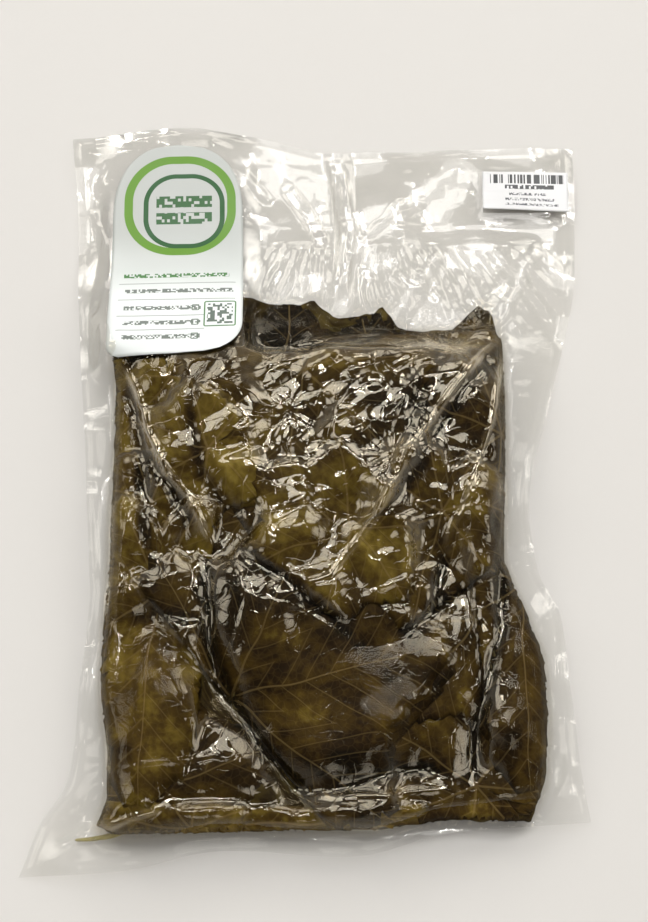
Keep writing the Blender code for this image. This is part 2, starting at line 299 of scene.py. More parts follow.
def cell_distances(x, y, cell, seed):
    """Squared distance, in cells, to the nearest of one random point per cell."""
    x = x / cell
    y = y / cell
    column = np.floor(x).astype(np.int64)
    row = np.floor(y).astype(np.int64)
    nearest = np.full(np.shape(x), 9.0)
    for side in (-1, 0, 1):
        for end in (-1, 0, 1):
            px = column + side + 0.1 + 0.8 * hashed(column + side, row + end, seed)
            py = row + end + 0.1 + 0.8 * hashed(column + side, row + end, seed + 57)
            nearest = np.minimum(nearest, (x - px) ** 2 + (y - py) ** 2)
    return nearest


def creases(x, y, cell, seed):
    """Level facets with straight creases between them, about -1 to 1, as in crushed film."""
    warp = 0.22 * cell
    wx = x + warp * soft_noise(x, y, 1.7 * cell, seed + 11)
    wy = y + warp * soft_noise(x, y, 1.7 * cell, seed + 12)
    return 1.6 * (cell_distances(wx, wy, cell, seed) - cell_distances(wx, wy, cell, seed + 101))


def worms(x, y, scale, width, seed):
    """Thin curved ridges, 1 on their crests."""
    wave = soft_noise(x, y, scale, seed)
    return np.clip(1.0 - np.abs(wave) * 0.45 * scale / width, 0.0, 1.0)


def turned(x, y, heading):
    """Coordinates along and across a heading in degrees."""
    angle = math.radians(heading)
    return x * math.cos(angle) + y * math.sin(angle), y * math.cos(angle) - x * math.sin(angle)


def along_edge(points, share):
    """Points at the given shares of the length of a smooth curve through the points."""
    points = np.array(points, float)
    ends = 2 * points[0] - points[1], 2 * points[-1] - points[-2]
    padded = np.vstack([ends[0], points, ends[1]])
    dense = []
    for before, start, end, after in zip(padded, padded[1:], padded[2:], padded[3:]):
        for t in np.linspace(0.0, 1.0, CURVE_STEPS, endpoint=False):
            dense.append(
                0.5 * (2 * start + (end - before) * t
                       + (2 * before - 5 * start + 4 * end - after) * t**2
                       + (3 * start - before - 3 * end + after) * t**3)
            )
    dense = np.array(dense + [points[-1]])
    steps = np.hypot(*np.diff(dense, axis=0).T)
    length = np.concatenate([[0.0], np.cumsum(steps)]) / steps.sum()
    return np.stack([np.interp(share, length, dense[:, k]) for k in (0, 1)], axis=-1)


def pouch_plan(s, t):
    """Where the share s across and t along the pouch lies: a patch between its four edges."""
    left = along_edge(LEFT_EDGE, t)
    right = along_edge(RIGHT_EDGE, t)
    low = along_edge(BOTTOM_EDGE, s)
    top = along_edge(TOP_EDGE, s)
    s = s[:, None]
    t = t[:, None]
    corners = np.array([LEFT_EDGE[0], RIGHT_EDGE[0], LEFT_EDGE[-1], RIGHT_EDGE[-1]], float)
    flat = (
        (1 - s) * (1 - t) * corners[0] + s * (1 - t) * corners[1]
        + (1 - s) * t * corners[2] + s * t * corners[3]
    )
    return (1 - s) * left + s * right + (1 - t) * low + t * top - flat


def route_distance(x, y, route):
    """Distance from points to a polyline, and the share of its length at the nearest place."""
    route = np.array(route, float)
    lengths = np.hypot(*np.diff(route, axis=0).T)
    nearest = np.full(np.shape(x), np.inf)
    place = np.zeros(np.shape(x))
    done = 0.0
    for start, end, length in zip(route, route[1:], lengths):
        leg = (end - start) / length
        run = np.clip((x - start[0]) * leg[0] + (y - start[1]) * leg[1], 0.0, length)
        away = np.hypot(x - start[0] - run * leg[0], y - start[1] - run * leg[1])
        place = np.where(away < nearest, (done + run) / lengths.sum(), place)
        nearest = np.minimum(nearest, away)
        done += length
    return nearest, place


def depth_in_pile(x, y):
    """Distance to the pile's outline, more than 0 inside it."""
    inside = np.zeros(np.shape(x), bool)
    for (x0, y0), (x1, y1) in zip(PILE_RING, PILE_RING[1:]):
        if y0 != y1:
            crosses = (y0 > y) != (y1 > y)
            inside ^= crosses & (x < x0 + (y - y0) * (x1 - x0) / (y1 - y0))
    return np.where(inside, 1.0, -1.0) * route_distance(x, y, PILE_RING)[0]


def groove_depth(x, y):
    """Depth of the crevices, fading out at their ends and at the pile's edge."""
    wx = x + 1.6 * soft_noise(x, y, 12.0, 171) + 0.5 * soft_noise(x, y, 4.0, 173)
    wy = y + 1.6 * soft_noise(x, y, 12.0, 172) + 0.5 * soft_noise(x, y, 4.0, 174)
    deep = np.zeros(np.shape(x))
    for route, depth, half_width in GROOVES:
        away, place = route_distance(wx, wy, route)
        taper = smooth_step(np.minimum(place, 1 - place) * 5.0)
        deep = np.maximum(deep, depth * taper * np.clip(1.0 - away / half_width, 0.0, 1.0))
    return deep * smooth_step(depth_in_pile(x, y) / 8.0)


class Field:
    """Values on a square grid over the plan, such as heights, read between its points."""

    columns = int((GRID_X[1] - GRID_X[0]) / GRID_STEP) + 1
    rows = int((GRID_Y[1] - GRID_Y[0]) / GRID_STEP) + 1
    x, y = np.meshgrid(
        GRID_X[0] + GRID_STEP * np.arange(columns), GRID_Y[0] + GRID_STEP * np.arange(rows)
    )

    @staticmethod
    def blurred(values, radius):
        """The values after a bell-shaped blur whose spread is the radius."""
        reach = max(1, int(3 * radius / GRID_STEP))
        weights = np.exp(-0.5 * (np.arange(-reach, reach + 1) * GRID_STEP / radius) ** 2)
        weights /= weights.sum()
        padded = np.pad(values, reach, mode="edge")
        rows = sum(w * padded[k:k + values.shape[0], :] for k, w in enumerate(weights))
        return sum(w * rows[:, k:k + values.shape[1]] for k, w in enumerate(weights))

    @staticmethod
    def at(values, x, y):
        """The values at the given places."""
        column = np.clip((x - GRID_X[0]) / GRID_STEP, 0, Field.columns - 1.001)
        row = np.clip((y - GRID_Y[0]) / GRID_STEP, 0, Field.rows - 1.001)
        i = column.astype(int)
        j = row.astype(int)
        fx = column - i
        fy = row - j
        low = values[j, i] * (1 - fx) + values[j, i + 1] * fx
        high = values[j + 1, i] * (1 - fx) + values[j + 1, i + 1] * fx
        return low * (1 - fy) + high * fy


def solid_face(node, from_above):
    """Height over the grid of a solid's upper or lower face, carried a little past its edge."""
    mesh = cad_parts[node].data
    tree = BVHTree.FromPolygons(
        [vert.co for vert in mesh.vertices], [face.vertices[:] for face in mesh.polygons]
    )
    down = Vector((0, 0, -1 if from_above else 1))
    start = 0.2 if from_above else -0.2
    values = np.full(Field.x.shape, np.nan)
    for row in range(Field.rows):
        for column in range(Field.columns):
            place = Vector((Field.x[row, column] * MM, Field.y[row, column] * MM, start))
            hit = tree.ray_cast(place, down)[0]
            if hit:
                values[row, column] = hit.z / MM
    for spread in (1.5, 4.0, 12.0):
        known = ~np.isnan(values)
        share = Field.blurred(known.astype(float), spread)
        carried = Field.blurred(np.where(known, values, 0.0), spread) / np.maximum(share, 1e-6)
        values = np.where(known | (share < 1e-3), values, carried)
    return np.where(np.isnan(values), 1.0, values)


class Relief:
    """The surfaces that the pieces are laid on, worked out from the frame's solid.

    The pile starts at the solid's top and rises as leaves are laid. The bed is what the labels
    lie on.
    """

    def __init__(self):
        self.top = Field.blurred(solid_face(BAG_NODE, True), 1.6)
        self.under = solid_face(BAG_NODE, False)
        self.depth = depth_in_pile(Field.x, Field.y)
        self.pile = self.top.copy()
        self.groove = groove_depth(Field.x, Field.y)
        self.bed = self.top.copy()


relief = Relief()


def linear(hex_color):
    """An sRGB hex colour as linear red, green, blue and 1."""
    parts = [int(hex_color[k:k + 2], 16) / 255 for k in (1, 3, 5)]
    return [p / 12.92 if p <= 0.04045 else ((p + 0.055) / 1.055) ** 2.4 for p in parts] + [1.0]


def per_metre(size):
    """Scale of a pattern on object coordinates whose features have a size in millimetres."""
    return 1.0 / (size * MM)


def add(tree, kind, inputs=None, out=0, stops=(), **settings):
    """Adds a node with its settings, sets or links its inputs, and gives one of its outputs.

    The stops are a colour ramp's places and hex colours.
    """
    made = tree.nodes.new(kind)
    for name, value in settings.items():
        setattr(made, name, value)
    for socket, value in (inputs or {}).items():
        if isinstance(value, bpy.types.NodeSocket):
            tree.links.new(value, made.inputs[socket])
        else:
            made.inputs[socket].default_value = value
    if stops:
        elements = made.color_ramp.elements
        while len(elements) < len(stops):
            elements.new(0.5)
        for element, (place, hex_color) in zip(elements, stops):
            element.position = place
            element.color = linear(hex_color)
    return made.outputs[out]


def new_material(name):
    """A material with only an output, and its node tree."""
    material = bpy.data.materials.new(name)
    material.use_nodes = True
    tree = material.node_tree
    for made in list(tree.nodes):
        if made.type != "OUTPUT_MATERIAL":
            tree.nodes.remove(made)
    return material, tree


def finish_material(tree, shader):
    """Links the finished shader to the material's output."""
    tree.links.new(shader, tree.nodes["Material Output"].inputs["Surface"])


def leaf_material(name, stops, vein, vein_share):
    """Brined vine leaf: a moist, leathery blade with paler veins and a fine net between them.

    Its patterns read the blade's own flat coordinates, which are in millimetres.
    """
    material, tree = new_material(name)
    blade = add(tree, "ShaderNodeAttribute", out=1, attribute_name="blade")
    # The tint holds each leaf's own tone, made darker along the crevices by painted shade
    tint = add(tree, "ShaderNodeAttribute", out=2, attribute_name="tint")
    warp = add(
        tree, "ShaderNodeTexNoise", {"Vector": blade, "Scale": 1 / 33.3, "Detail": 1.0}, 1,
        noise_dimensions="2D",
    )
    warp = add(tree, "ShaderNodeVectorMath", {0: warp, 1: (0.5, 0.5, 0.5)}, operation="SUBTRACT")
    blade = add(
        tree, "ShaderNodeVectorMath", {0: warp, 1: (6.0, 6.0, 0.0), 2: blade},
        operation="MULTIPLY_ADD",
    )
    parts = add(tree, "ShaderNodeSeparateXYZ", {0: blade}).node.outputs
    angle = add(tree, "ShaderNodeMath", {0: parts[1], 1: parts[0]}, operation="ARCTAN2")
    half = math.radians(MAIN_VEIN_TURN / 2)
    angle = add(tree, "ShaderNodeMath", {0: angle, 1: half, 2: -half}, operation="WRAP")
    angle = add(tree, "ShaderNodeMath", {0: angle}, operation="ABSOLUTE")
    reach = add(tree, "ShaderNodeVectorMath", {0: blade}, 1, operation="LENGTH")
    cosine = add(tree, "ShaderNodeMath", {0: angle}, operation="COSINE")
    sine = add(tree, "ShaderNodeMath", {0: angle}, operation="SINE")
    run = add(tree, "ShaderNodeMath", {0: reach, 1: cosine}, operation="MULTIPLY")
    off = add(tree, "ShaderNodeMath", {0: reach, 1: sine}, operation="MULTIPLY")
    width = add(
        tree, "ShaderNodeMapRange",
        {"Value": reach, "From Min": 0.0, "From Max": 90.0, "To Min": 0.7, "To Max": 0.26},
    )
    main = add(tree, "ShaderNodeMath", {0: off, 1: width}, operation="DIVIDE")
    main = add(
        tree, "ShaderNodeMapRange",
        {"Value": main, "From Min": 0.4, "From Max": 1.0, "To Min": 1.0, "To Max": 0.0},
        interpolation_type="SMOOTHSTEP",
    )
    slant = 1 / math.tan(math.radians(SIDE_VEIN_SLANT))
    half = SIDE_VEIN_STEP / 2
    side = add(tree, "ShaderNodeMath", {0: off, 1: -slant, 2: run}, operation="MULTIPLY_ADD")
    side = add(tree, "ShaderNodeMath", {0: side, 1: half, 2: -half}, operation="WRAP")
    side = add(tree, "ShaderNodeMath", {0: side}, operation="ABSOLUTE")
    side = add(
        tree, "ShaderNodeMapRange",
        {"Value": side, "From Min": 0.2, "From Max": 0.55, "To Min": 0.55, "To Max": 0.0},
        interpolation_type="SMOOTHSTEP",
    )
    net = add(
        tree, "ShaderNodeTexVoronoi", {"Vector": blade, "Scale": 1 / 3.33},
        feature="DISTANCE_TO_EDGE", voronoi_dimensions="2D",
    )
    net = add(
        tree, "ShaderNodeMapRange",
        {"Value": net, "From Min": 0.02, "From Max": 0.1, "To Min": 0.15, "To Max": 0.0},
    )
    veins = add(tree, "ShaderNodeMath", {0: main, 1: side}, operation="MAXIMUM")
    veins = add(tree, "ShaderNodeMath", {0: veins, 1: net}, operation="MAXIMUM")
    broad = add(
        tree, "ShaderNodeTexNoise",
        {"Vector": blade, "Scale": 1 / 28.57, "Detail": 3.0, "Roughness": 0.6},
        noise_dimensions="2D",
    )
    fine = add(
        tree, "ShaderNodeTexNoise",
        {"Vector": blade, "Scale": 1 / 3.33, "Detail": 2.0, "Roughness": 0.5},
        noise_dimensions="2D",
    )
    shade = add(tree, "ShaderNodeMath", {0: broad, 1: 1.25, 2: tint}, operation="MULTIPLY_ADD")
    shade = add(tree, "ShaderNodeMath", {0: fine, 1: 0.35, 2: shade}, operation="MULTIPLY_ADD")
    shade = add(tree, "ShaderNodeMath", {0: shade, 1: 0.885}, operation="SUBTRACT")
    color = add(tree, "ShaderNodeValToRGB", {0: shade}, stops=stops)
    share = add(tree, "ShaderNodeMath", {0: veins, 1: vein_share}, operation="MULTIPLY")
    color = add(
        tree, "ShaderNodeMix", {0: share, 6: color, 7: linear(vein)}, 2, data_type="RGBA"
    )
    height = add(tree, "ShaderNodeMath", {0: fine, 1: 0.5, 2: veins}, operation="MULTIPLY_ADD")
    normal = add(
        tree, "ShaderNodeBump", {"Height": height, "Strength": 0.6, "Distance": 0.0004}
    )
    shader = add(
        tree, "ShaderNodeBsdfPrincipled",
        {"Base Color": color, "Roughness": 0.6, "Specular IOR Level": 0.08, "Normal": normal},
    )
    finish_material(tree, shader)
    return material


def core_material():
    """The pile's body: many leaf edges pressed together, seen as thin layers at the sides."""
    material, tree = new_material("pressed_leaf_edges")
    place = add(tree, "ShaderNodeTexCoord", out=3)
    sizes = (16.67, 16.67, 2.38)  # long patches in layers as thick as a few leaves
    layers = add(
        tree, "ShaderNodeMapping",
        {"Vector": place, "Scale": tuple(per_metre(size) for size in sizes)},
    )
    layers = add(
        tree, "ShaderNodeTexNoise",
        {"Vector": layers, "Scale": 1.0, "Detail": 3.0, "Roughness": 0.6},
    )
    patches = add(
        tree, "ShaderNodeTexNoise",
        {"Vector": place, "Scale": per_metre(16.67), "Detail": 4.0, "Roughness": 0.6},
    )
    shade = add(tree, "ShaderNodeMath", {0: patches, 1: 0.4, 2: layers}, operation="MULTIPLY_ADD")
    color = add(
        tree, "ShaderNodeValToRGB", {0: shade},
        stops=[(0.45, "#0f0a03"), (0.68, "#2b200b"), (0.9, "#54471f")],
    )
    normal = add(
        tree, "ShaderNodeBump", {"Height": layers, "Strength": 0.8, "Distance": 0.0008}
    )
    shader = add(
        tree, "ShaderNodeBsdfPrincipled",
        {"Base Color": color, "Roughness": 0.6, "Specular IOR Level": 0.08, "Normal": normal},
    )
    finish_material(tree, shader)
    return material


def film_material():
    """Clear nylon and polyethylene film, creased by the vacuum.

    The eye sees its gloss on each facet and a little haze, so a glossy layer lies over a clear
    one, with more of it the flatter the view. Shadows pass through as through a thin veil.
    """
    material, tree = new_material("clear_vacuum_film")
    place = add(tree, "ShaderNodeTexCoord", out=3)
    milk = add(tree, "ShaderNodeAttribute", out=2, attribute_name="milk")
    faces = add(tree, "ShaderNodeAttribute", out=2, attribute_name="faces")
    wrinkles = add(tree, "ShaderNodeAttribute", out=2, attribute_name="wrinkles")
    bend = add(
        tree, "ShaderNodeTexNoise",
        {"Vector": place, "Scale": per_metre(14.29), "Detail": 1.0}, 1,
        noise_dimensions="2D",
    )
    bend = add(tree, "ShaderNodeVectorMath", {0: bend, 1: (0.5, 0.5, 0.5)}, operation="SUBTRACT")
    bent = add(
        tree, "ShaderNodeVectorMath", {0: bend, 1: (0.012, 0.012, 0.012), 2: place},
        operation="MULTIPLY_ADD",
    )
    height = add(
        tree, "ShaderNodeTexNoise",
        {"Vector": place, "Scale": per_metre(11.11), "Detail": 1.0, "Roughness": 0.4},
        noise_dimensions="2D",
    )
    for turn, sizes, share in ((0.5, (16.67, 6.67, 10), 0.5), (-0.7, (7.69, 20.83, 10), 0.4)):
        drawn = add(
            tree, "ShaderNodeMapping",
            {"Vector": bent, "Rotation": (0.0, 0.0, turn),
             "Scale": tuple(per_metre(size) for size in sizes)},
        )
        drawn = add(
            tree, "ShaderNodeTexVoronoi", {"Vector": drawn, "Scale": 1.0},
            feature="DISTANCE_TO_EDGE", voronoi_dimensions="2D",
        )
        drawn = add(
            tree, "ShaderNodeMapRange",
            {"Value": drawn, "From Min": 0.0, "From Max": 0.07, "To Min": share, "To Max": 0.0},
            interpolation_type="SMOOTHSTEP",
        )
        height = add(tree, "ShaderNodeMath", {0: height, 1: drawn}, operation="ADD")
    height = add(tree, "ShaderNodeMath", {0: height, 1: wrinkles}, operation="MULTIPLY")
    normal = add(
        tree, "ShaderNodeBump", {"Height": height, "Strength": 0.2, "Distance": 0.0005}
    )
    gloss = add(tree, "ShaderNodeFresnel", {"IOR": 1.5, "Normal": normal})
    share = add(tree, "ShaderNodeMath", {0: gloss, 1: faces}, operation="MULTIPLY")
    most = add(tree, "ShaderNodeMath", {0: wrinkles, 1: 0.6, 2: 0.25}, operation="MULTIPLY_ADD")
    share = add(tree, "ShaderNodeMath", {0: share, 1: most}, operation="MINIMUM")
    tilt = add(tree, "ShaderNodeLayerWeight", {"Blend": 0.5, "Normal": normal}, 1)
    tilt = add(tree, "ShaderNodeMapRange", {"Value": tilt, "From Min": 0.05, "From Max": 0.6})
    dim = add(
        tree, "ShaderNodeValToRGB", {0: tilt}, stops=[(0.0, "#fdfdfd"), (1.0, "#ededeb")]
    )
    clear = add(tree, "ShaderNodeBsdfTransparent", {"Color": dim})
    haze = add(
        tree, "ShaderNodeMix", {0: wrinkles, 6: linear("#f6f5f2"), 7: linear("#b9a37a")}, 2,
        data_type="RGBA",
    )
    haze = add(tree, "ShaderNodeBsdfDiffuse", {"Color": haze})
    body = add(tree, "ShaderNodeMixShader", {0: milk, 1: clear, 2: haze})
    sheen = add(
        tree, "ShaderNodeMix", {0: wrinkles, 6: linear("#f7f7f7"), 7: linear("#f6ecd6")}, 2,
        data_type="RGBA",
    )
    shine = add(
        tree, "ShaderNodeBsdfPrincipled",
        {"Base Color": sheen, "Metallic": 1.0, "Roughness": 0.07, "Normal": normal},
    )
    shader = add(tree, "ShaderNodeMixShader", {0: share, 1: body, 2: shine})
    shadow = add(tree, "ShaderNodeLightPath", out=1)
    veil = add(tree, "ShaderNodeBsdfTransparent", {"Color": linear("#fcfcfb")})
    shader = add(tree, "ShaderNodeMixShader", {0: shadow, 1: shader, 2: veil})
    finish_material(tree, shader)
    return material


def keep(piece, slot, *nodes):
    """Links a finished piece, makes it ride on the pack and hides the parts of the frame that it
    stands in for.
    """
    if not piece.data.polygons:
        raise RuntimeError(f"{piece.name} has no faces")
    bpy.context.scene.collection.objects.link(piece)
    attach(piece, BODY)
    if nodes:
        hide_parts(*nodes)


def new_piece(name, mesh, materials):
    """An object made from a bmesh, smooth and with its materials."""
    data = bpy.data.meshes.new(name)
    mesh.to_mesh(data)
    mesh.free()
    data.shade_smooth()
    for material in materials:
        data.materials.append(material)
    return bpy.data.objects.new(name, data)


def leaf_reach(angle):
    """Length of a vine leaf's blade at angles from its tip, as a share of its length."""
    degrees = np.abs(np.degrees(angle))
    lobes = np.interp(
        degrees,
        [0, 12, 27, 42, 53, 66, 79, 94, 106, 122, 142, 165, 176, 180],
        [1.0, 0.86, 0.68, 0.80, 0.88, 0.76, 0.60, 0.66, 0.72, 0.60, 0.52, 0.46, 0.30, 0.10],
    )
    teeth = np.abs(((degrees / 8.5) % 1.0) - 0.5) * 2.0
    return lobes * (1.0 - 0.07 * teeth)


def leaf_template(rings, spokes):
    """A round sheet of rings and spokes: share of the reach and angle of each vertex."""
    mesh = bmesh.new()
    bmesh.ops.create_grid(mesh, x_segments=rings, y_segments=spokes, size=1.0)
    for vert in mesh.verts:
        share = (vert.co.x + 1) / 2
        angle = math.pi * vert.co.y
        vert.co = Vector((share * math.cos(angle), share * math.sin(angle), 0.0))
    bmesh.ops.remove_doubles(mesh, verts=mesh.verts, dist=1e-5)
    bmesh.ops.recalc_face_normals(mesh, faces=mesh.faces)
    if sum(face.normal.z for face in mesh.faces) < 0:
        bmesh.ops.reverse_faces(mesh, faces=mesh.faces)
    data = bpy.data.meshes.new("leaf_template")
    mesh.to_mesh(data)
    mesh.free()
    return data


def folded(x, y, fold):
    """Moves points past the fold line back under, and says how far past it they were."""
    if fold is None:
        return x, y, np.full(np.shape(x), -1.0)
    (px, py), heading = fold
    nx = math.cos(math.radians(heading))
    ny = math.sin(math.radians(heading))
    past = (x - px) * nx + (y - py) * ny
    back = np.maximum(past, 0.0)
    return x - 2 * back * nx, y - 2 * back * ny, past


def leaf_cover(x, y, middle, heading, length, fold):
    """How far the places are inside the leaf as laid, as a share of its reach."""
    past = folded(x, y, fold)[2]
    along, across = turned(x - middle[0], y - middle[1], heading)
    reach = np.hypot(along, across) / (length * leaf_reach(np.arctan2(across, along)))
    return np.where(past > 0, 9.0, reach)


def lay_leaf(mesh, template, leaf, seed):
    """Lays one leaf on the pile, adds it to the mesh and raises the pile by it."""
    middle, heading, length, tint, lift, fold = leaf
    blade_layer = mesh.verts.layers.float_vector["blade"]
    tint_and_shade_layer = mesh.verts.layers.float["tint"]
    first = len(mesh.verts)
    mesh.from_mesh(template)
    mesh.verts.ensure_lookup_table()
    verts = mesh.verts[first:]
    local = np.array([vert.co[:2] for vert in verts])
    share = np.hypot(local[:, 0], local[:, 1])
    angle = np.arctan2(local[:, 1], local[:, 0])
    blade = local * (length * leaf_reach(angle))[:, None]
    cosine = math.cos(math.radians(heading))
    sine = math.sin(math.radians(heading))
    x = middle[0] + blade[:, 0] * cosine - blade[:, 1] * sine
    y = middle[1] + blade[:, 0] * sine + blade[:, 1] * cosine
    x, y, past = folded(x, y, fold)
    ground = Field.blurred(relief.pile, 1.2)
    wrinkle = 0.35 * soft_noise(Field.x, Field.y, 11.0, seed) * min(1.0, lift)
    wrinkle += 0.5 * creases(Field.x, Field.y, 17.0, 500 + seed) * min(1.0, lift)
    inside = smooth_step(relief.depth / 6.0)
    laid = ground + LEAF_GAP + inside * (lift + wrinkle)
    rim = smooth_step((1.0 - share) * length / 3.0)
    low = Field.at(ground, x, y) + LEAF_GAP
    z = low + (Field.at(laid, x, y) - low) * rim
    z -= np.where(past > 0, 0.8 * lift * smooth_step(past / 1.5), 0.0)
    z -= Field.at(relief.groove, x, y)
    # Leaves are tinted darker along the crevices: painted shade for the shadow that falls in them
    crevice_shade = np.clip(Field.at(Field.blurred(relief.groove, 1.6), x, y) / 1.8, 0.0, 1.0)
    depth = depth_in_pile(x, y)
    for vert, px, py, pz, place, painted_shade, d in zip(verts, x, y, z, blade, crevice_shade, depth):
        vert.co = Vector((px, py, pz)) * MM
        vert[blade_layer] = Vector((place[0], place[1], 0.0))
        vert[tint_and_shade_layer] = tint - 0.45 * painted_shade
        vert.tag = d < 0.5
    cover = leaf_cover(Field.x, Field.y, middle, heading, length, fold)
    edge = smooth_step((1.0 - cover) * length / 3.0)
    raised = ground + (laid - ground) * edge + 0.3
    over = (cover < 1.0) & (relief.depth > 0)
    relief.pile = np.where(over, np.maximum(relief.pile, raised), relief.pile)


def make_leaves(settings):
    """The pile's body and the leaves laid on it."""
    material_upper = leaf_material(
        "brined_leaf_face",
        [(0.0, "#0e0801"), (0.25, "#261905"), (0.5, "#45340f"), (0.75, "#6c5a20"),
         (1.0, "#94813a")],
        "#90794a", 0.3,
    )
    material_under = leaf_material(
        "brined_leaf_underside",
        [(0.0, "#1a1205"), (0.4, "#463412"), (0.8, "#776126"), (1.0, "#937d3c")],
        "#a8975e", 0.4,
    )
    make_core(settings)
    make_stem()
    rng = np.random.default_rng(settings.seed)
    fine = leaf_template(18, 108)
    coarse = leaf_template(12, 72)
    shown = bmesh.new()
    hidden = bmesh.new()
    for mesh in (shown, hidden):
        mesh.verts.layers.float_vector.new("blade")
        mesh.verts.layers.float.new("tint")
    for k, leaf in enumerate(TOP_LEAVES):
        middle, heading, length, tint, _, fold = leaf
        for _ in range(LEAF_COPIES):
            turn = rng.uniform(-COPY_TURN, COPY_TURN)
            shift = rng.uniform(-COPY_SHIFT, COPY_SHIFT, 2)
            copy = (
                (middle[0] + shift[0], middle[1] + shift[1]), heading + turn, length * 0.97,
                tint * 0.8, COPY_LIFT, fold,
            )
            lay_leaf(hidden, coarse, copy, 40 + k)
        lay_leaf(shown, fine, leaf, k)
    bpy.data.meshes.remove(fine)
    bpy.data.meshes.remove(coarse)
    for name, mesh in (("leaves_on_top", shown), ("leaves_between", hidden)):
        outside = [vert for vert in mesh.verts if vert.tag]
        bmesh.ops.delete(mesh, geom=outside, context="VERTS")
        piece = new_piece(name, mesh, [material_upper, material_under])
        wall = piece.modifiers.new("blade_thickness", "SOLIDIFY")
        wall.thickness = LEAF_THICKNESS * MM
        wall.offset = -1.0
        wall.material_offset = 1
        keep(piece, "leaf")


def make_stem():
    """A leaf stalk that sticks out of the pile at its lower left corner."""
    material, tree = new_material("pale_leaf_stalk")
    place = add(tree, "ShaderNodeTexCoord", out=3)
    grain = add(
        tree, "ShaderNodeTexNoise", {"Vector": place, "Scale": per_metre(5.56), "Detail": 3.0}
    )
    color = add(
        tree, "ShaderNodeValToRGB", {0: grain}, stops=[(0.3, "#7f7430"), (0.7, "#b3a552")]
    )
    shader = add(
        tree, "ShaderNodeBsdfPrincipled", {"Base Color": color, "Roughness": 0.5}
    )
    finish_material(tree, shader)
    mesh = bmesh.new()
    bmesh.ops.create_grid(mesh, x_segments=24, y_segments=10, size=1.0)
    share = np.array([(vert.co.x + 1) / 2 for vert in mesh.verts])
    around = np.array([math.pi * vert.co.y for vert in mesh.verts])
    route = along_edge(STEM_ROUTE, share)
    heading = np.array(STEM_ROUTE[-1], float) - np.array(STEM_ROUTE[0], float)
    heading /= np.hypot(*heading)
    radius = np.interp(share, [0.0, 0.04, 0.5, 0.96, 1.0], STEM_RADII)
    x = route[:, 0] + radius * np.cos(around) * heading[1]
    y = route[:, 1] - radius * np.cos(around) * heading[0]
    z = np.interp(share, [0.0, 0.5, 1.0], STEM_HEIGHTS) + radius * np.sin(around)
    for vert, place in zip(mesh.verts, zip(x, y, z)):
        vert.co = Vector(place) * MM
    bmesh.ops.remove_doubles(mesh, verts=mesh.verts, dist=2e-5)
    bmesh.ops.recalc_face_normals(mesh, faces=mesh.faces)
    keep(new_piece("leaf_stalk", mesh, [material]), "leaf")


def make_core(settings):
    """The body of the pile, under the leaves that are modelled one by one."""
    relief.pile = relief.top - settings.leaf_depth * smooth_step(relief.depth / 10.0)
    mesh = bmesh.new()
    bmesh.ops.create_grid(mesh, x_segments=CORE_FACES[0], y_segments=CORE_FACES[1], size=1.0)
    squares = np.array([vert.co[:2] for vert in mesh.verts])
    raised = bmesh.ops.extrude_face_region(mesh, geom=list(mesh.faces))["geom"]
    upper = [part for part in raised if isinstance(part, bmesh.types.BMVert)]
    lifted = set(upper)
    lower = [vert for vert in mesh.verts if vert not in lifted]
    lower_of = {tuple(round(c, 5) for c in square): k for k, square in enumerate(squares)}
    order = [lower_of[tuple(round(c, 5) for c in vert.co[:2])] for vert in upper]
    x, y = pile_plan(squares)
    depth = np.maximum(depth_in_pile(x, y), 0.0)
    top = Field.at(relief.pile - relief.groove, x, y) - 0.3
    under = Field.at(relief.under, x, y) + 0.5
    middle = (top + under) / 2
    closing = smooth_step(depth / 1.5)
    top = middle + (top - middle) * closing + 0.05
    under = middle + (under - middle) * closing - 0.05
    for vert, px, py, pz in zip(lower, x, y, under):
        vert.co = Vector((px, py, pz)) * MM
    for vert, k in zip(upper, order):
        vert.co = Vector((x[k], y[k], top[k])) * MM
    # the extrusion makes the side faces in any order, and this gives each run the same one
    count = len(mesh.verts)
    mesh.verts.index_update()
    mesh.faces.sort(
        key=lambda face: min(v.index for v in face.verts) * count
        + max(v.index for v in face.verts)
    )
    bmesh.ops.recalc_face_normals(mesh, faces=mesh.faces)
    keep(new_piece("pressed_leaf_core", mesh, [core_material()]), "leaf")


def pile_plan(squares):
    """Places in the pile's outline of points in a square from -1 to 1, ring by ring."""
    ring = np.max(np.abs(squares), axis=1)
    outline = np.array(PILE_RING, float)
    mid = np.array(PILE_MIDDLE)
    aim = np.where(ring[:, None] > 0, squares / np.maximum(ring, 1e-9)[:, None], [1.0, 0.0])
    aim = aim * PILE_HALF_SIZE
    angle = np.arctan2(aim[:, 1], aim[:, 0])
    far = np.zeros(len(squares))
    for (x0, y0), (x1, y1) in zip(outline - mid, outline[1:] - mid):
        cosine = np.cos(angle)
        sine = np.sin(angle)
        span = (x1 - x0) * sine - (y1 - y0) * cosine
        span = np.where(np.abs(span) < 1e-9, 1e-9, span)
        reach = ((x1 - x0) * y0 - (y1 - y0) * x0) / span
        leg = np.where(
            np.abs(x1 - x0) > np.abs(y1 - y0),
            (reach * cosine - x0) / ((x1 - x0) or 1e-9),
            (reach * sine - y0) / ((y1 - y0) or 1e-9),
        )
        far = np.where((leg >= -1e-6) & (leg <= 1 + 1e-6) & (reach > 0), reach, far)
    ragged = 0.9 * soft_noise(far * np.cos(angle), far * np.sin(angle), 7.0, 41)
    ragged += 0.8 * soft_noise(far * np.cos(angle), far * np.sin(angle), 3.0, 42)
    far = np.maximum(far - 1.2 + ragged, 1.0)
    return mid[0] + ring * far * np.cos(angle), mid[1] + ring * far * np.sin(angle)


def star_share(x, y):
    """1 at the middle of a star of creases, 0 beyond its reach."""
    share = np.zeros(np.shape(x))
    for (sx, sy), radius in STARS:
        share = np.maximum(share, bump(np.hypot(x - sx, y - sy) / radius))
    return share


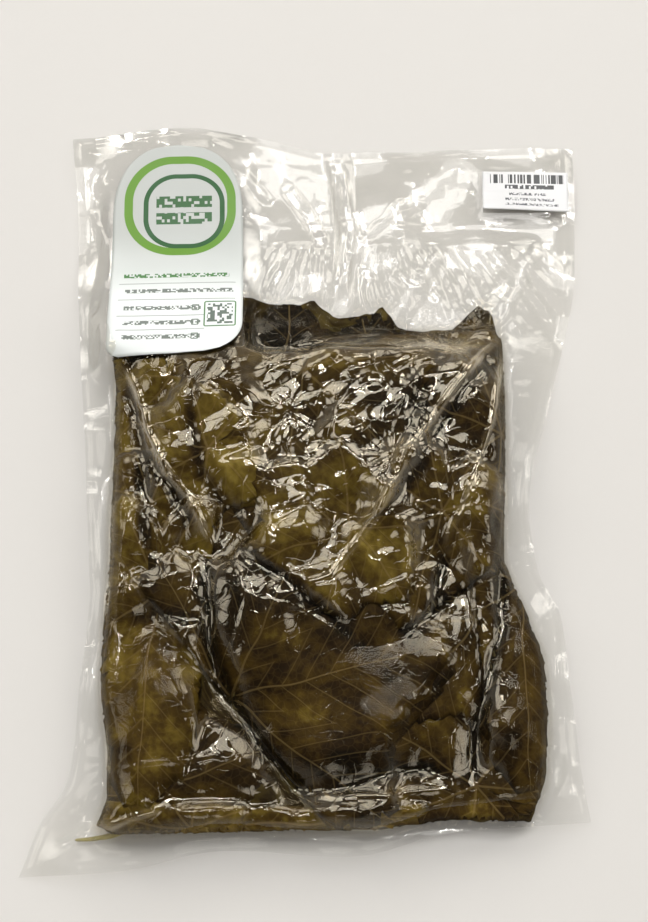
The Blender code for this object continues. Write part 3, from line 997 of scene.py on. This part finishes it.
def pleat_height(x, y, pleats, stars, crown):
    """Height of the film's pleats, and a share from 0 to 1 of doubled film."""
    wx = x + 0.8 * soft_noise(x, y, 16.0, 71) + 0.15 * soft_noise(x, y, 5.0, 73)
    wy = y + 0.8 * soft_noise(x, y, 16.0, 72) + 0.15 * soft_noise(x, y, 5.0, 74)
    height = np.zeros(np.shape(x))
    doubled = np.zeros(np.shape(x))
    for route, high, half_width, band in pleats:
        away, place = route_distance(wx, wy, route)
        taper = smooth_step(np.minimum(place, 1 - place) * 6.0)
        half_width = half_width * (0.75 + 0.35 * taper)
        if band:
            edge = np.clip(away / half_width, 0.0, 1.0)
            shape = (1.0 - edge**crown) * (1.0 - 0.16 * (1.0 - np.cos(2.2 * away)))
            doubled = np.maximum(doubled, (1.0 - edge**6) * taper)
        else:
            shape = np.clip(1.0 - away / half_width, 0.0, 1.0)
            doubled = np.maximum(doubled, 0.3 * shape * taper)
        height = np.maximum(height, high * shape * taper)
    for k, ((sx, sy), radius) in enumerate(stars):
        away = np.hypot(x - sx, y - sy)
        angle = np.arctan2(y - sy, x - sx) + 0.25 * soft_noise(x, y, 9.0, STAR_SEED + k)
        rays = np.zeros(np.shape(x))
        for ray in range(STAR_RAYS):
            aim = 2 * math.pi * (ray + 0.6 * hashed(np.int64(ray), np.int64(k), 9)) / STAR_RAYS
            turn = np.abs((angle - aim + math.pi) % (2 * math.pi) - math.pi)
            rays = np.maximum(rays, np.clip(1.0 - turn * away / (1.2 + 0.26 * away), 0, 1))
        height = np.maximum(height, 1.7 * rays * bump(away / radius) * smooth_step(away / 3.0))
    return height, doubled


def calm_share(x, y):
    """1 where the film lies smoothly, 0 away from there."""
    share = np.zeros(np.shape(x))
    for (mx, my), (ax, ay) in CALM:
        share = np.maximum(share, np.exp(-(((x - mx) / ax) ** 2 + ((y - my) / ay) ** 2) ** 2))
    return share


def crushed_share(x, y):
    """How much the film is crushed, from nearly 0 to about 1."""
    share = np.full(np.shape(x), CRUSHED_ELSEWHERE)
    for (mx, my), (ax, ay), amount in CRUSHED:
        share = np.maximum(share, amount * np.exp(-((x - mx) / ax) ** 2 - ((y - my) / ay) ** 2))
    return share * (1.0 - 0.85 * calm_share(x, y))


def mouth_folds(x, y):
    """Folds of the unfilled end: a fan of low pleats that runs to the pile's end."""
    fan = np.arctan2(x - FAN_POINT[0], FAN_POINT[1] - y)
    near = bump((y - FAN_MIDDLE_Y) / FAN_REACH)
    fold = np.abs((fan * FAN_FOLDS + 0.5 * soft_noise(x, y, 30.0, 15)) % 1.0 - 0.5) * 2
    return 1.5 * near * fold


def margin_height(x, y, depth):
    """Puckers of the margins, which run out from the pile's edge, over broad soft waves."""
    along = route_distance(x, y, PILE_RING)[1] * PILE_AROUND
    near = np.exp(depth / 20.0)
    height = 1.1 * near * creases(along + 0.5 * depth, depth * 0.35, 13.0, 5)
    height += 0.5 * near * creases(along - 0.4 * depth, depth * 0.4, 6.0, 8)
    height += 0.2 * soft_noise(x, y, 26.0, 6) + 0.7 * creases(x * 0.6, y, 18.0, 9)
    return height + 0.35 * creases(x, y * 0.7, 8.0, 7) + 0.08 * creases(x, y, 3.8, 3)


def resting_height(x, y, dips):
    """Height of film pulled down on the leaves: it bridges the crevices, and more where calm."""
    bridged = np.maximum(dips, Field.blurred(relief.pile - 0.7 * relief.groove, 2.0))
    close = Field.at(Field.blurred(bridged, 0.8), x, y) + 0.25
    smooth = Field.at(Field.blurred(bridged, 4.0), x, y) + 0.5
    return close + (smooth - close) * calm_share(x, y)


def crush_height(x, y):
    """Facets of crushed film, with loops of fine ridges in places and long ridges elsewhere."""
    along, across = turned(x, y, CRUSH_HEADING)
    along = along + 1.3 * soft_noise(x, y, 13.0, 26)
    across = across + 1.3 * soft_noise(x, y, 13.0, 27)
    loops = smooth_step(0.5 + 1.3 * soft_noise(x, y, 32.0, 28))
    height = 2.0 * creases(along * 0.8, across * 1.2, 17.0, 21)
    height += loops * 1.0 * worms(along * 0.5, across, 8.0, 1.6, 24)
    height += loops * 0.6 * worms(along, across * 0.6, 10.0, 1.5, 25)
    return height + (1 - loops) * 0.8 * worms(along * 0.22, across * 0.8, 8.0, 1.5, 29)


def free_height(x, y, depth):
    """Height of the film over its solid where no leaf lies under it."""
    off_seal = np.abs(y - SEAL_Y) - SEAL_HALF_WIDTH
    loose = smooth_step(off_seal / SEAL_HALF_WIDTH)
    height = margin_height(x, y, np.minimum(depth, 0.0)) * (0.35 + 0.65 * loose)
    return height + mouth_folds(x, y) * loose + 0.3 * bump((off_seal - 1.0) / 1.8)


def edge_distance(s, t):
    """Distance in from the pouch's nearest edge, from the shares across and along it."""
    across, along = POUCH_SPANS
    return np.minimum(np.minimum(s, 1 - s) * across, np.minimum(t, 1 - t) * along)


def film_heights(x, y, s, t):
    """Heights of the shown film and the film underneath, and the shares that its looks read."""
    depth = depth_in_pile(x, y)
    edge = edge_distance(s, t)
    inside = smooth_step((depth + 2.0) / 7.0)
    dips = relief.pile - relief.groove
    pile = Field.at(dips, x, y)
    share = crushed_share(x, y)
    pleats, doubled = pleat_height(x, y, PLEATS, STARS, 2)
    free_pleats, free_doubled = pleat_height(x, y, FREE_PLEATS, [], 5)
    beside = 1.0 - 0.85 * np.maximum(doubled, np.clip(pleats / 1.5, 0.0, 1.0))
    beside *= 1.0 - 0.85 * star_share(x, y)
    on_pile = resting_height(x, y, dips) + share * (crush_height(x, y) + 0.8) * beside + pleats
    off_pile = Field.at(relief.top, x, y) + free_height(x, y, depth) + free_pleats
    front = off_pile + (on_pile - off_pile) * inside
    # flat under the labels, and clear of the leaves
    label = label_share(x, y) * smooth_step(edge / 14.0)
    front = front * (1 - label) + Field.at(relief.bed, x, y) * label
    front = np.maximum(front, pile + 0.15 * inside)
    # the two films meet at the pouch's edge, where a welded rim stands a little proud
    back = film_underneath(x, y, depth, edge)
    front = np.maximum(front, back + 0.5 * smooth_step(edge / 5.0))
    together = smooth_step((edge - 2.0) / 12.0)
    front = back + (front - back) * (0.2 + 0.8 * together) * smooth_step(edge / 5.0)
    front += 0.2 * smooth_step(edge / 3.0) + 0.3 * bump((edge - 4.0) / 1.2)
    # haze and gloss: doubled film is milky, calm film and film that clings are least glossy
    margin = smooth_step(-(depth + 0.5) / 3.0)
    clings = bump((depth - 3.0) / 11.0) * (1 - margin)
    off_leaves = np.clip((front - pile - 0.8) / 1.5, 0.0, 1.0) * (1 - margin) * (1 - clings)
    doubled = np.maximum(doubled * inside, 0.6 * free_doubled)
    milk = 0.003 * off_leaves + 0.1 * doubled + 0.035 * margin
    faces = 1.2 + 1.9 * share + 0.3 * off_leaves + 2.4 * doubled - 0.5 * margin - 0.95 * clings
    faces -= 0.65 * margin * (1.0 - smooth_step((y - 55.0) / 30.0))
    faces = np.maximum(faces, 0.25) * (1.0 - 0.82 * calm_share(x, y))
    return front, back, milk, faces, 1.0 - 0.8 * margin


def film_underneath(x, y, depth, edge):
    """Height of the film under the pile, which lifts a little off the floor in the margins."""
    loose = (1 - smooth_step((depth + 2.0) / 5.0)) * smooth_step(edge / 14.0)
    return np.maximum(Field.at(relief.under, x, y) + 0.35 * loose * soft_noise(x, y, 9.0, 61), 0.08)


def label_share(x, y):
    """1 under a label, 0 away from it."""
    share = np.zeros(np.shape(x))
    for (mx, my), (width, length), tilt in LABELS:
        across, along = turned(x - mx, y - my, tilt)
        beyond = np.maximum(np.abs(across) - width / 2, np.abs(along) - length / 2)
        share = np.maximum(share, 1.0 - smooth_step((beyond + 1.0) / 6.0))
    return share


def make_film(settings):
    """The pouch as one closed skin: a fine shown side, and a plainer side underneath.

    The plain side's outer edges are cut in three, so that both sides' rims match.
    """
    relief.bed = Field.blurred(np.maximum(relief.top - 0.05, relief.pile + 0.5), 3.0)
    thirds_across = settings.film_across
    thirds_along = settings.film_along
    mesh = bmesh.new()
    bmesh.ops.create_grid(mesh, x_segments=thirds_across, y_segments=thirds_along, size=1.0)
    outer = [edge for edge in mesh.edges if edge.is_boundary]
    bmesh.ops.subdivide_edges(mesh, edges=outer, cuts=2)
    bmesh.ops.reverse_faces(mesh, faces=mesh.faces)
    back_count = len(mesh.verts)
    bmesh.ops.create_grid(
        mesh, x_segments=3 * thirds_across, y_segments=3 * thirds_along, size=1.0
    )
    squares = np.array([vert.co[:2] for vert in mesh.verts])
    s = (squares[:, 0] + 1) / 2
    t = (squares[:, 1] + 1) / 2
    plan = pouch_plan(s, t)
    plan -= (plan.max(axis=0) + plan.min(axis=0)) / 2  # the frame's origin is at its middle
    front, back, milk, faces, wrinkles = film_heights(plan[:, 0], plan[:, 1], s, t)
    is_back = np.arange(len(s)) < back_count
    z = np.where(is_back, back, front)
    for name, values, value_behind in (
        ("milk", milk, 0.04), ("faces", faces, 0.8), ("wrinkles", wrinkles, 0.2),
    ):
        layer = mesh.verts.layers.float.new(name)
        for vert, value in zip(mesh.verts, np.where(is_back, value_behind, values)):
            vert[layer] = value
    for vert, (px, py), pz in zip(mesh.verts, plan, z):
        vert.co = Vector((px, py, pz)) * MM
    rim = [vert for vert, a, b in zip(mesh.verts, s, t) if min(a, 1 - a, b, 1 - b) < 1e-5]
    bmesh.ops.remove_doubles(mesh, verts=rim, dist=2e-5)
    for vert in mesh.verts:
        vert.tag = False
    for vert in rim:
        if vert.is_valid:
            vert.tag = True
    for edge in mesh.edges:
        if edge.verts[0].tag and edge.verts[1].tag:
            edge.smooth = False
    piece = new_piece("vacuum_film", mesh, [film_material()])
    keep(piece, "film", BAG_NODE)


def stamp(tree, place, under, ink, middle, half, corner=0.0, line=0.0, where=None):
    """Prints a box with round corners, or its outline, over the colour underneath.

    The ink is a hex colour or a linear one, and it goes only where the last value is 1.
    """
    inner = (half[0] - corner, half[1] - corner, 9.0)
    away = add(
        tree, "ShaderNodeVectorMath", {0: place, 1: (*middle, 0.0)}, operation="SUBTRACT"
    )
    away = add(tree, "ShaderNodeVectorMath", {0: away}, operation="ABSOLUTE")
    away = add(tree, "ShaderNodeVectorMath", {0: away, 1: inner}, operation="SUBTRACT")
    away = add(tree, "ShaderNodeVectorMath", {0: away, 1: (0, 0, 0)}, operation="MAXIMUM")
    away = add(tree, "ShaderNodeVectorMath", {0: away}, 1, operation="LENGTH")
    if line:
        inked = add(
            tree, "ShaderNodeMath", {0: away, 1: corner, 2: line / 2}, operation="COMPARE"
        )
    else:
        inked = add(tree, "ShaderNodeMath", {0: away, 1: corner + 0.001}, operation="LESS_THAN")
    if where is not None:
        inked = add(tree, "ShaderNodeMath", {0: inked, 1: where}, operation="MULTIPLY")
    ink = linear(ink) if isinstance(ink, str) else (*ink, 1.0)
    return add(tree, "ShaderNodeMix", {0: inked, 6: under, 7: ink}, 2, data_type="RGBA")


def dashes(tree, place, length, row, share):
    """1 on blocks of random lengths, as a line of small print is seen from afar."""
    cell = add(
        tree, "ShaderNodeVectorMath", {0: place, 1: (length, row, 1.0)}, operation="DIVIDE"
    )
    cell = add(tree, "ShaderNodeVectorMath", {0: cell}, operation="FLOOR")
    drawn = add(tree, "ShaderNodeTexWhiteNoise", {"Vector": cell}, noise_dimensions="3D")
    return add(tree, "ShaderNodeMath", {0: drawn, 1: share}, operation="LESS_THAN")


def front_print(tree, place, ring):
    """Plain fields of green on a ground that is greyer at the top and whiter lower down, and rows
    of dashes for small print.

    Middles and half sizes are in millimetres from the label's own middle.
    """
    along = add(tree, "ShaderNodeSeparateXYZ", {0: place}, 1)
    share = add(
        tree, "ShaderNodeMapRange", {"Value": along, "From Min": 12.0, "From Max": -26.0},
    )
    color = add(
        tree, "ShaderNodeValToRGB", {0: share},
        stops=[(0.0, "#b9bcb8"), (0.6, "#c9cdca"), (1.0, "#e0e4e2")],
    )
    color = stamp(tree, place, color, ring, (1, 25), (25, 25), 22, 4.2)
    color = stamp(tree, place, color, "#14521c", (3, 22), (18.5, 19), 15, 2.4)
    words = dashes(tree, place, 1.3, 1.6, 0.72)
    for height in (27, 18):
        color = stamp(tree, place, color, "#2f5f30", (3, height), (13.5, 3.1), where=words)
    small = dashes(tree, place, 0.8, 0.75, 0.62)
    for height, start, end, ink in (
        (-14, -25, 25, "#41763a"), (-23, -24, 27, "#6b736c"), (-33, -24, 12, "#6b736c"),
        (-41.5, -24, 12, "#6b736c"), (-49.5, -24, 12, "#6b736c"),
    ):
        half = ((end - start) / 2, 1.15)
        middle = ((start + end) / 2, height)
        color = stamp(tree, place, color, ink, middle, half, where=small)
    for height, end in ((-18.5, 28), (-28, 28), (-37.5, 14), (-45.5, 14)):
        half = ((end + 27) / 2, 0.22)
        color = stamp(tree, place, color, "#9ba09c", ((end - 27) / 2, height), half)
    for height in (-33, -41.5, -49.5):
        color = stamp(tree, place, color, "#5b6a5c", (9.5, height), (1.5, 1.5), 0.3, 0.5)
    code = dashes(tree, place, 1.1, 1.1, 0.5)
    color = stamp(tree, place, color, "#4f7a49", (21, -37), (7.2, 7.2), 0.8, 0.7)
    return stamp(tree, place, color, "#56645a", (21, -37), (6, 6), where=code)


def price_print(tree, place):
    """Dark bars and rows of dashes."""
    color = add(tree, "ShaderNodeRGB")
    color.node.outputs[0].default_value = linear("#dfdede")
    bars = dashes(tree, place, 0.42, 50.0, 0.55)
    color = stamp(tree, place, color, "#222222", (0.5, 6.6), (18.5, 2.4), where=bars)
    digits = dashes(tree, place, 0.9, 1.4, 0.7)
    color = stamp(tree, place, color, "#2c2c2c", (2, 2.3), (12, 1.1), where=digits)
    small = dashes(tree, place, 0.55, 0.6, 0.6)
    color = stamp(tree, place, color, "#55565a", (1, -1.6), (9, 0.7), where=small)
    color = stamp(tree, place, color, "#55565a", (2, -4.6), (12, 0.7), where=small)
    return stamp(tree, place, color, "#55565a", (3, -7.4), (13, 0.6), where=small)


def paper_material(name, printed, *inks):
    """Coated label paper with its print, read from the label's own coordinates in millimetres."""
    material, tree = new_material(name)
    place = add(tree, "ShaderNodeAttribute", out=1, attribute_name="print_place")
    grain = add(tree, "ShaderNodeTexNoise", {"Vector": place, "Scale": 1 / 1.11, "Detail": 2.0})
    normal = add(
        tree, "ShaderNodeBump", {"Height": grain, "Strength": 0.08, "Distance": 0.0001}
    )
    shader = add(
        tree, "ShaderNodeBsdfPrincipled",
        {"Base Color": printed(tree, place, *inks), "Roughness": 0.35, "Normal": normal},
    )
    finish_material(tree, shader)
    return material


def front_half_widths(along, length, width):
    """Half the front label's width to its left and right: an arched top and round corners."""
    from_low = along + length / 2
    halves = []
    for corner in (6.0, 17.0):
        cut = np.clip(1.0 - from_low / corner, 0.0, 1.0)
        halves.append(width / 2 - corner * (1.0 - np.sqrt(1.0 - cut**2)))
    arch = np.clip((along - length / 2 + 40.0) / 40.0, 0.0, 1.0)
    arch = (1.0 - arch**2.4) ** (1 / 2.4)
    return halves[0] * arch, halves[1] * arch


def make_label(name, node, label, halves_of, height_of, faces, material):
    """A thin printed sheet lying on the film, closed all round."""
    (mx, my), (_, length), tilt = label
    mesh = bmesh.new()
    bmesh.ops.create_grid(mesh, x_segments=faces[0], y_segments=faces[1], size=1.0)
    layer = mesh.verts.layers.float_vector.new("print_place")
    squares = np.array([vert.co[:2] for vert in mesh.verts])
    along = squares[:, 1] * length / 2
    left, right = halves_of(along)
    across = np.where(squares[:, 0] < 0, squares[:, 0] * left, squares[:, 0] * right)
    x, y = turned(across, along, -tilt)
    x += mx
    y += my
    z = height_of(x, y, across, along)
    for vert, *place in zip(mesh.verts, x, y, z, across, along):
        vert.co = Vector(place[:3]) * MM
        vert[layer] = Vector((*place[3:], 0.0))
    bmesh.ops.remove_doubles(mesh, verts=mesh.verts, dist=2e-5)
    bmesh.ops.recalc_face_normals(mesh, faces=mesh.faces)
    if sum(face.normal.z for face in mesh.faces) < 0:
        bmesh.ops.reverse_faces(mesh, faces=mesh.faces)
    piece = new_piece(name, mesh, [material])
    wall = piece.modifiers.new("paper_thickness", "SOLIDIFY")
    wall.thickness = PAPER_THICKNESS * MM
    wall.offset = 1.0
    keep(piece, "label", node)


def make_labels(settings):
    """The arched front label and the small price label."""
    front, price = LABELS
    bed = relief.bed

    def front_height(x, y, across, along):
        wave = 0.45 * soft_noise(x, y, 26.0, 91) + 0.15 * soft_noise(x, y, 9.0, 92)
        corner = smooth_step((across + 8) / 40) * smooth_step((-along - 30) / 27)
        return Field.at(bed, x, y) + 0.9 + wave + 1.2 * corner

    def price_height(x, y, across, along):
        leftward = smooth_step(0.5 - across / 42.0)
        loose = leftward * np.clip(-2 * along / 21.0, 0.0, 1.0)
        wave = 0.2 * soft_noise(x, y, 12.0, 93)
        return Field.at(bed, x, y) + 0.55 + 2.6 * loose + wave

    make_label(
        "printed_front_label", "front_label", front,
        lambda along: front_half_widths(along, front[1][1], front[1][0]), front_height,
        (40, 76), paper_material("printed_front_paper", front_print, settings.ring_color),
    )
    make_label(
        "printed_price_label", "price_label", price,
        lambda along: (price[1][0] / 2, price[1][0] / 2), price_height, (42, 21),
        paper_material("printed_price_paper", price_print),
    )


def make_stage(settings):
    """Camera, floor, lights and the pale room, which is dimmer overhead than low down."""
    scene = bpy.context.scene
    scene.view_settings.view_transform = "Standard"
    elevation = math.radians(settings.elevation)
    target = Vector(CAMERA_TARGET) * MM
    back = Vector((0.0, -math.cos(elevation), math.sin(elevation)))
    camera = bpy.data.cameras.new("camera")
    camera.sensor_fit = "HORIZONTAL"
    camera.sensor_width = 36.0
    camera.lens = settings.lens
    view = bpy.data.objects.new("camera", camera)
    view.location = target + back * settings.distance
    view.rotation_euler = (math.pi / 2 - elevation, 0.0, 0.0)
    scene.collection.objects.link(view)
    scene.camera = view
    for name, place, size, power in LAMPS:
        light = bpy.data.lights.new(name, "AREA")
        light.shape = "ELLIPSE"
        light.size, light.size_y = size
        light.energy = power
        lamp = bpy.data.objects.new(name, light)
        lamp.location = place
        lamp.rotation_euler = (-Vector(place)).to_track_quat("-Z", "Y").to_euler()
        scene.collection.objects.link(lamp)
    world = bpy.data.worlds.new("room")
    world.use_nodes = True
    tree = world.node_tree
    toward = add(tree, "ShaderNodeTexCoord")
    rise = add(tree, "ShaderNodeSeparateXYZ", {0: toward}, 2)
    light = add(
        tree, "ShaderNodeMapRange",
        {"Value": rise, "From Min": 0.1, "From Max": 0.75, "To Min": 0.6, "To Max": 0.02},
        interpolation_type="SMOOTHSTEP",
    )
    for aim, reach, power in SOFT_PANELS:
        near = add(
            tree, "ShaderNodeVectorMath", {0: toward, 1: Vector(aim).normalized()}, 1,
            operation="DOT_PRODUCT",
        )
        near = add(
            tree, "ShaderNodeMapRange",
            {"Value": near, "From Min": math.cos(math.radians(reach)),
             "From Max": math.cos(math.radians(0.4 * reach)), "To Max": power},
            interpolation_type="SMOOTHSTEP",
        )
        light = add(tree, "ShaderNodeMath", {0: light, 1: near}, operation="ADD")
    background = tree.nodes["Background"]
    background.inputs["Color"].default_value = linear("#f9f7f3")
    tree.links.new(light, background.inputs["Strength"])
    scene.world = world
    mesh = bmesh.new()
    bmesh.ops.create_grid(mesh, x_segments=1, y_segments=1, size=FLOOR_HALF)
    bmesh.ops.translate(mesh, verts=mesh.verts, vec=(0, 0, -FLOOR_DROP * MM))
    material, tree = new_material("pale_floor")
    shader = add(
        tree, "ShaderNodeBsdfPrincipled",
        {"Base Color": (*settings.floor_color, 1.0), "Roughness": 0.7, "Specular IOR Level": 0.0},
    )
    finish_material(tree, shader)
    floor = new_piece("floor", mesh, [material])
    scene.collection.objects.link(floor)


class PackSettings(bpy.types.PropertyGroup):
    """Sizes and colours that a user would change."""

    seed: bpy.props.IntProperty(name="Seed", description="Order of random draws", default=7)
    leaf_depth: bpy.props.FloatProperty(
        name="Leaf Depth", description="Depth in mm of the leaves modelled one by one",
        default=9.0,
    )
    film_across: bpy.props.IntProperty(
        name="Film Across", description="Thirds of the shown film's faces across", default=78
    )
    film_along: bpy.props.IntProperty(
        name="Film Along", description="Thirds of the shown film's faces along", default=109
    )
    ring_color: bpy.props.FloatVectorProperty(
        name="Ring Color", description="Front label's outer ring", subtype="COLOR",
        default=linear("#5f8e22")[:3],
    )
    floor_color: bpy.props.FloatVectorProperty(
        name="Floor Color", description="Plain floor under the pack", subtype="COLOR",
        default=linear("#d7d4d0")[:3],
    )
    elevation: bpy.props.FloatProperty(
        name="Elevation", description="Camera's angle over the floor in degrees", default=75.0
    )
    distance: bpy.props.FloatProperty(
        name="Distance", description="Camera's distance", default=0.65, subtype="DISTANCE",
        unit="LENGTH",
    )
    lens: bpy.props.FloatProperty(name="Lens", description="Focal length in mm", default=77.2)


class VINEPACK_OT_stage(bpy.types.Operator):
    """Adds the camera, the lights and the floor"""

    bl_idname = "vinepack.stage"
    bl_label = "Stage"

    def execute(self, context):
        make_stage(context.scene.vine_pack)
        return {"FINISHED"}


class VINEPACK_OT_leaves(bpy.types.Operator):
    """Adds the pile of leaves"""

    bl_idname = "vinepack.leaves"
    bl_label = "Leaves"

    def execute(self, context):
        make_leaves(context.scene.vine_pack)
        return {"FINISHED"}


class VINEPACK_OT_film(bpy.types.Operator):
    """Adds the clear film round the pile"""

    bl_idname = "vinepack.film"
    bl_label = "Film"

    def execute(self, context):
        make_film(context.scene.vine_pack)
        return {"FINISHED"}


class VINEPACK_OT_labels(bpy.types.Operator):
    """Adds the two labels"""

    bl_idname = "vinepack.labels"
    bl_label = "Labels"

    def execute(self, context):
        make_labels(context.scene.vine_pack)
        return {"FINISHED"}


class VINEPACK_PT_pieces(bpy.types.Panel):
    """Lists the pack's pieces"""

    bl_label = "Vine Pack"
    bl_idname = "VINEPACK_PT_pieces"
    bl_space_type = "VIEW_3D"
    bl_region_type = "UI"
    bl_category = "Vine Pack"

    def draw(self, context):
        for operator in OPERATORS:
            self.layout.operator(operator.bl_idname)


OPERATORS = (VINEPACK_OT_stage, VINEPACK_OT_leaves, VINEPACK_OT_film, VINEPACK_OT_labels)
CLASSES = (PackSettings, *OPERATORS, VINEPACK_PT_pieces)


def register():
    for made in CLASSES:
        bpy.utils.register_class(made)
    bpy.types.Scene.vine_pack = bpy.props.PointerProperty(type=PackSettings)


def unregister():
    del bpy.types.Scene.vine_pack
    for made in reversed(CLASSES):
        bpy.utils.unregister_class(made)


def main():
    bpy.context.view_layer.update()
    register()
    bpy.ops.vinepack.stage()
    bpy.ops.vinepack.leaves()
    bpy.ops.vinepack.film()
    bpy.ops.vinepack.labels()
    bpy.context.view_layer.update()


if __name__ == "__main__":
    main()
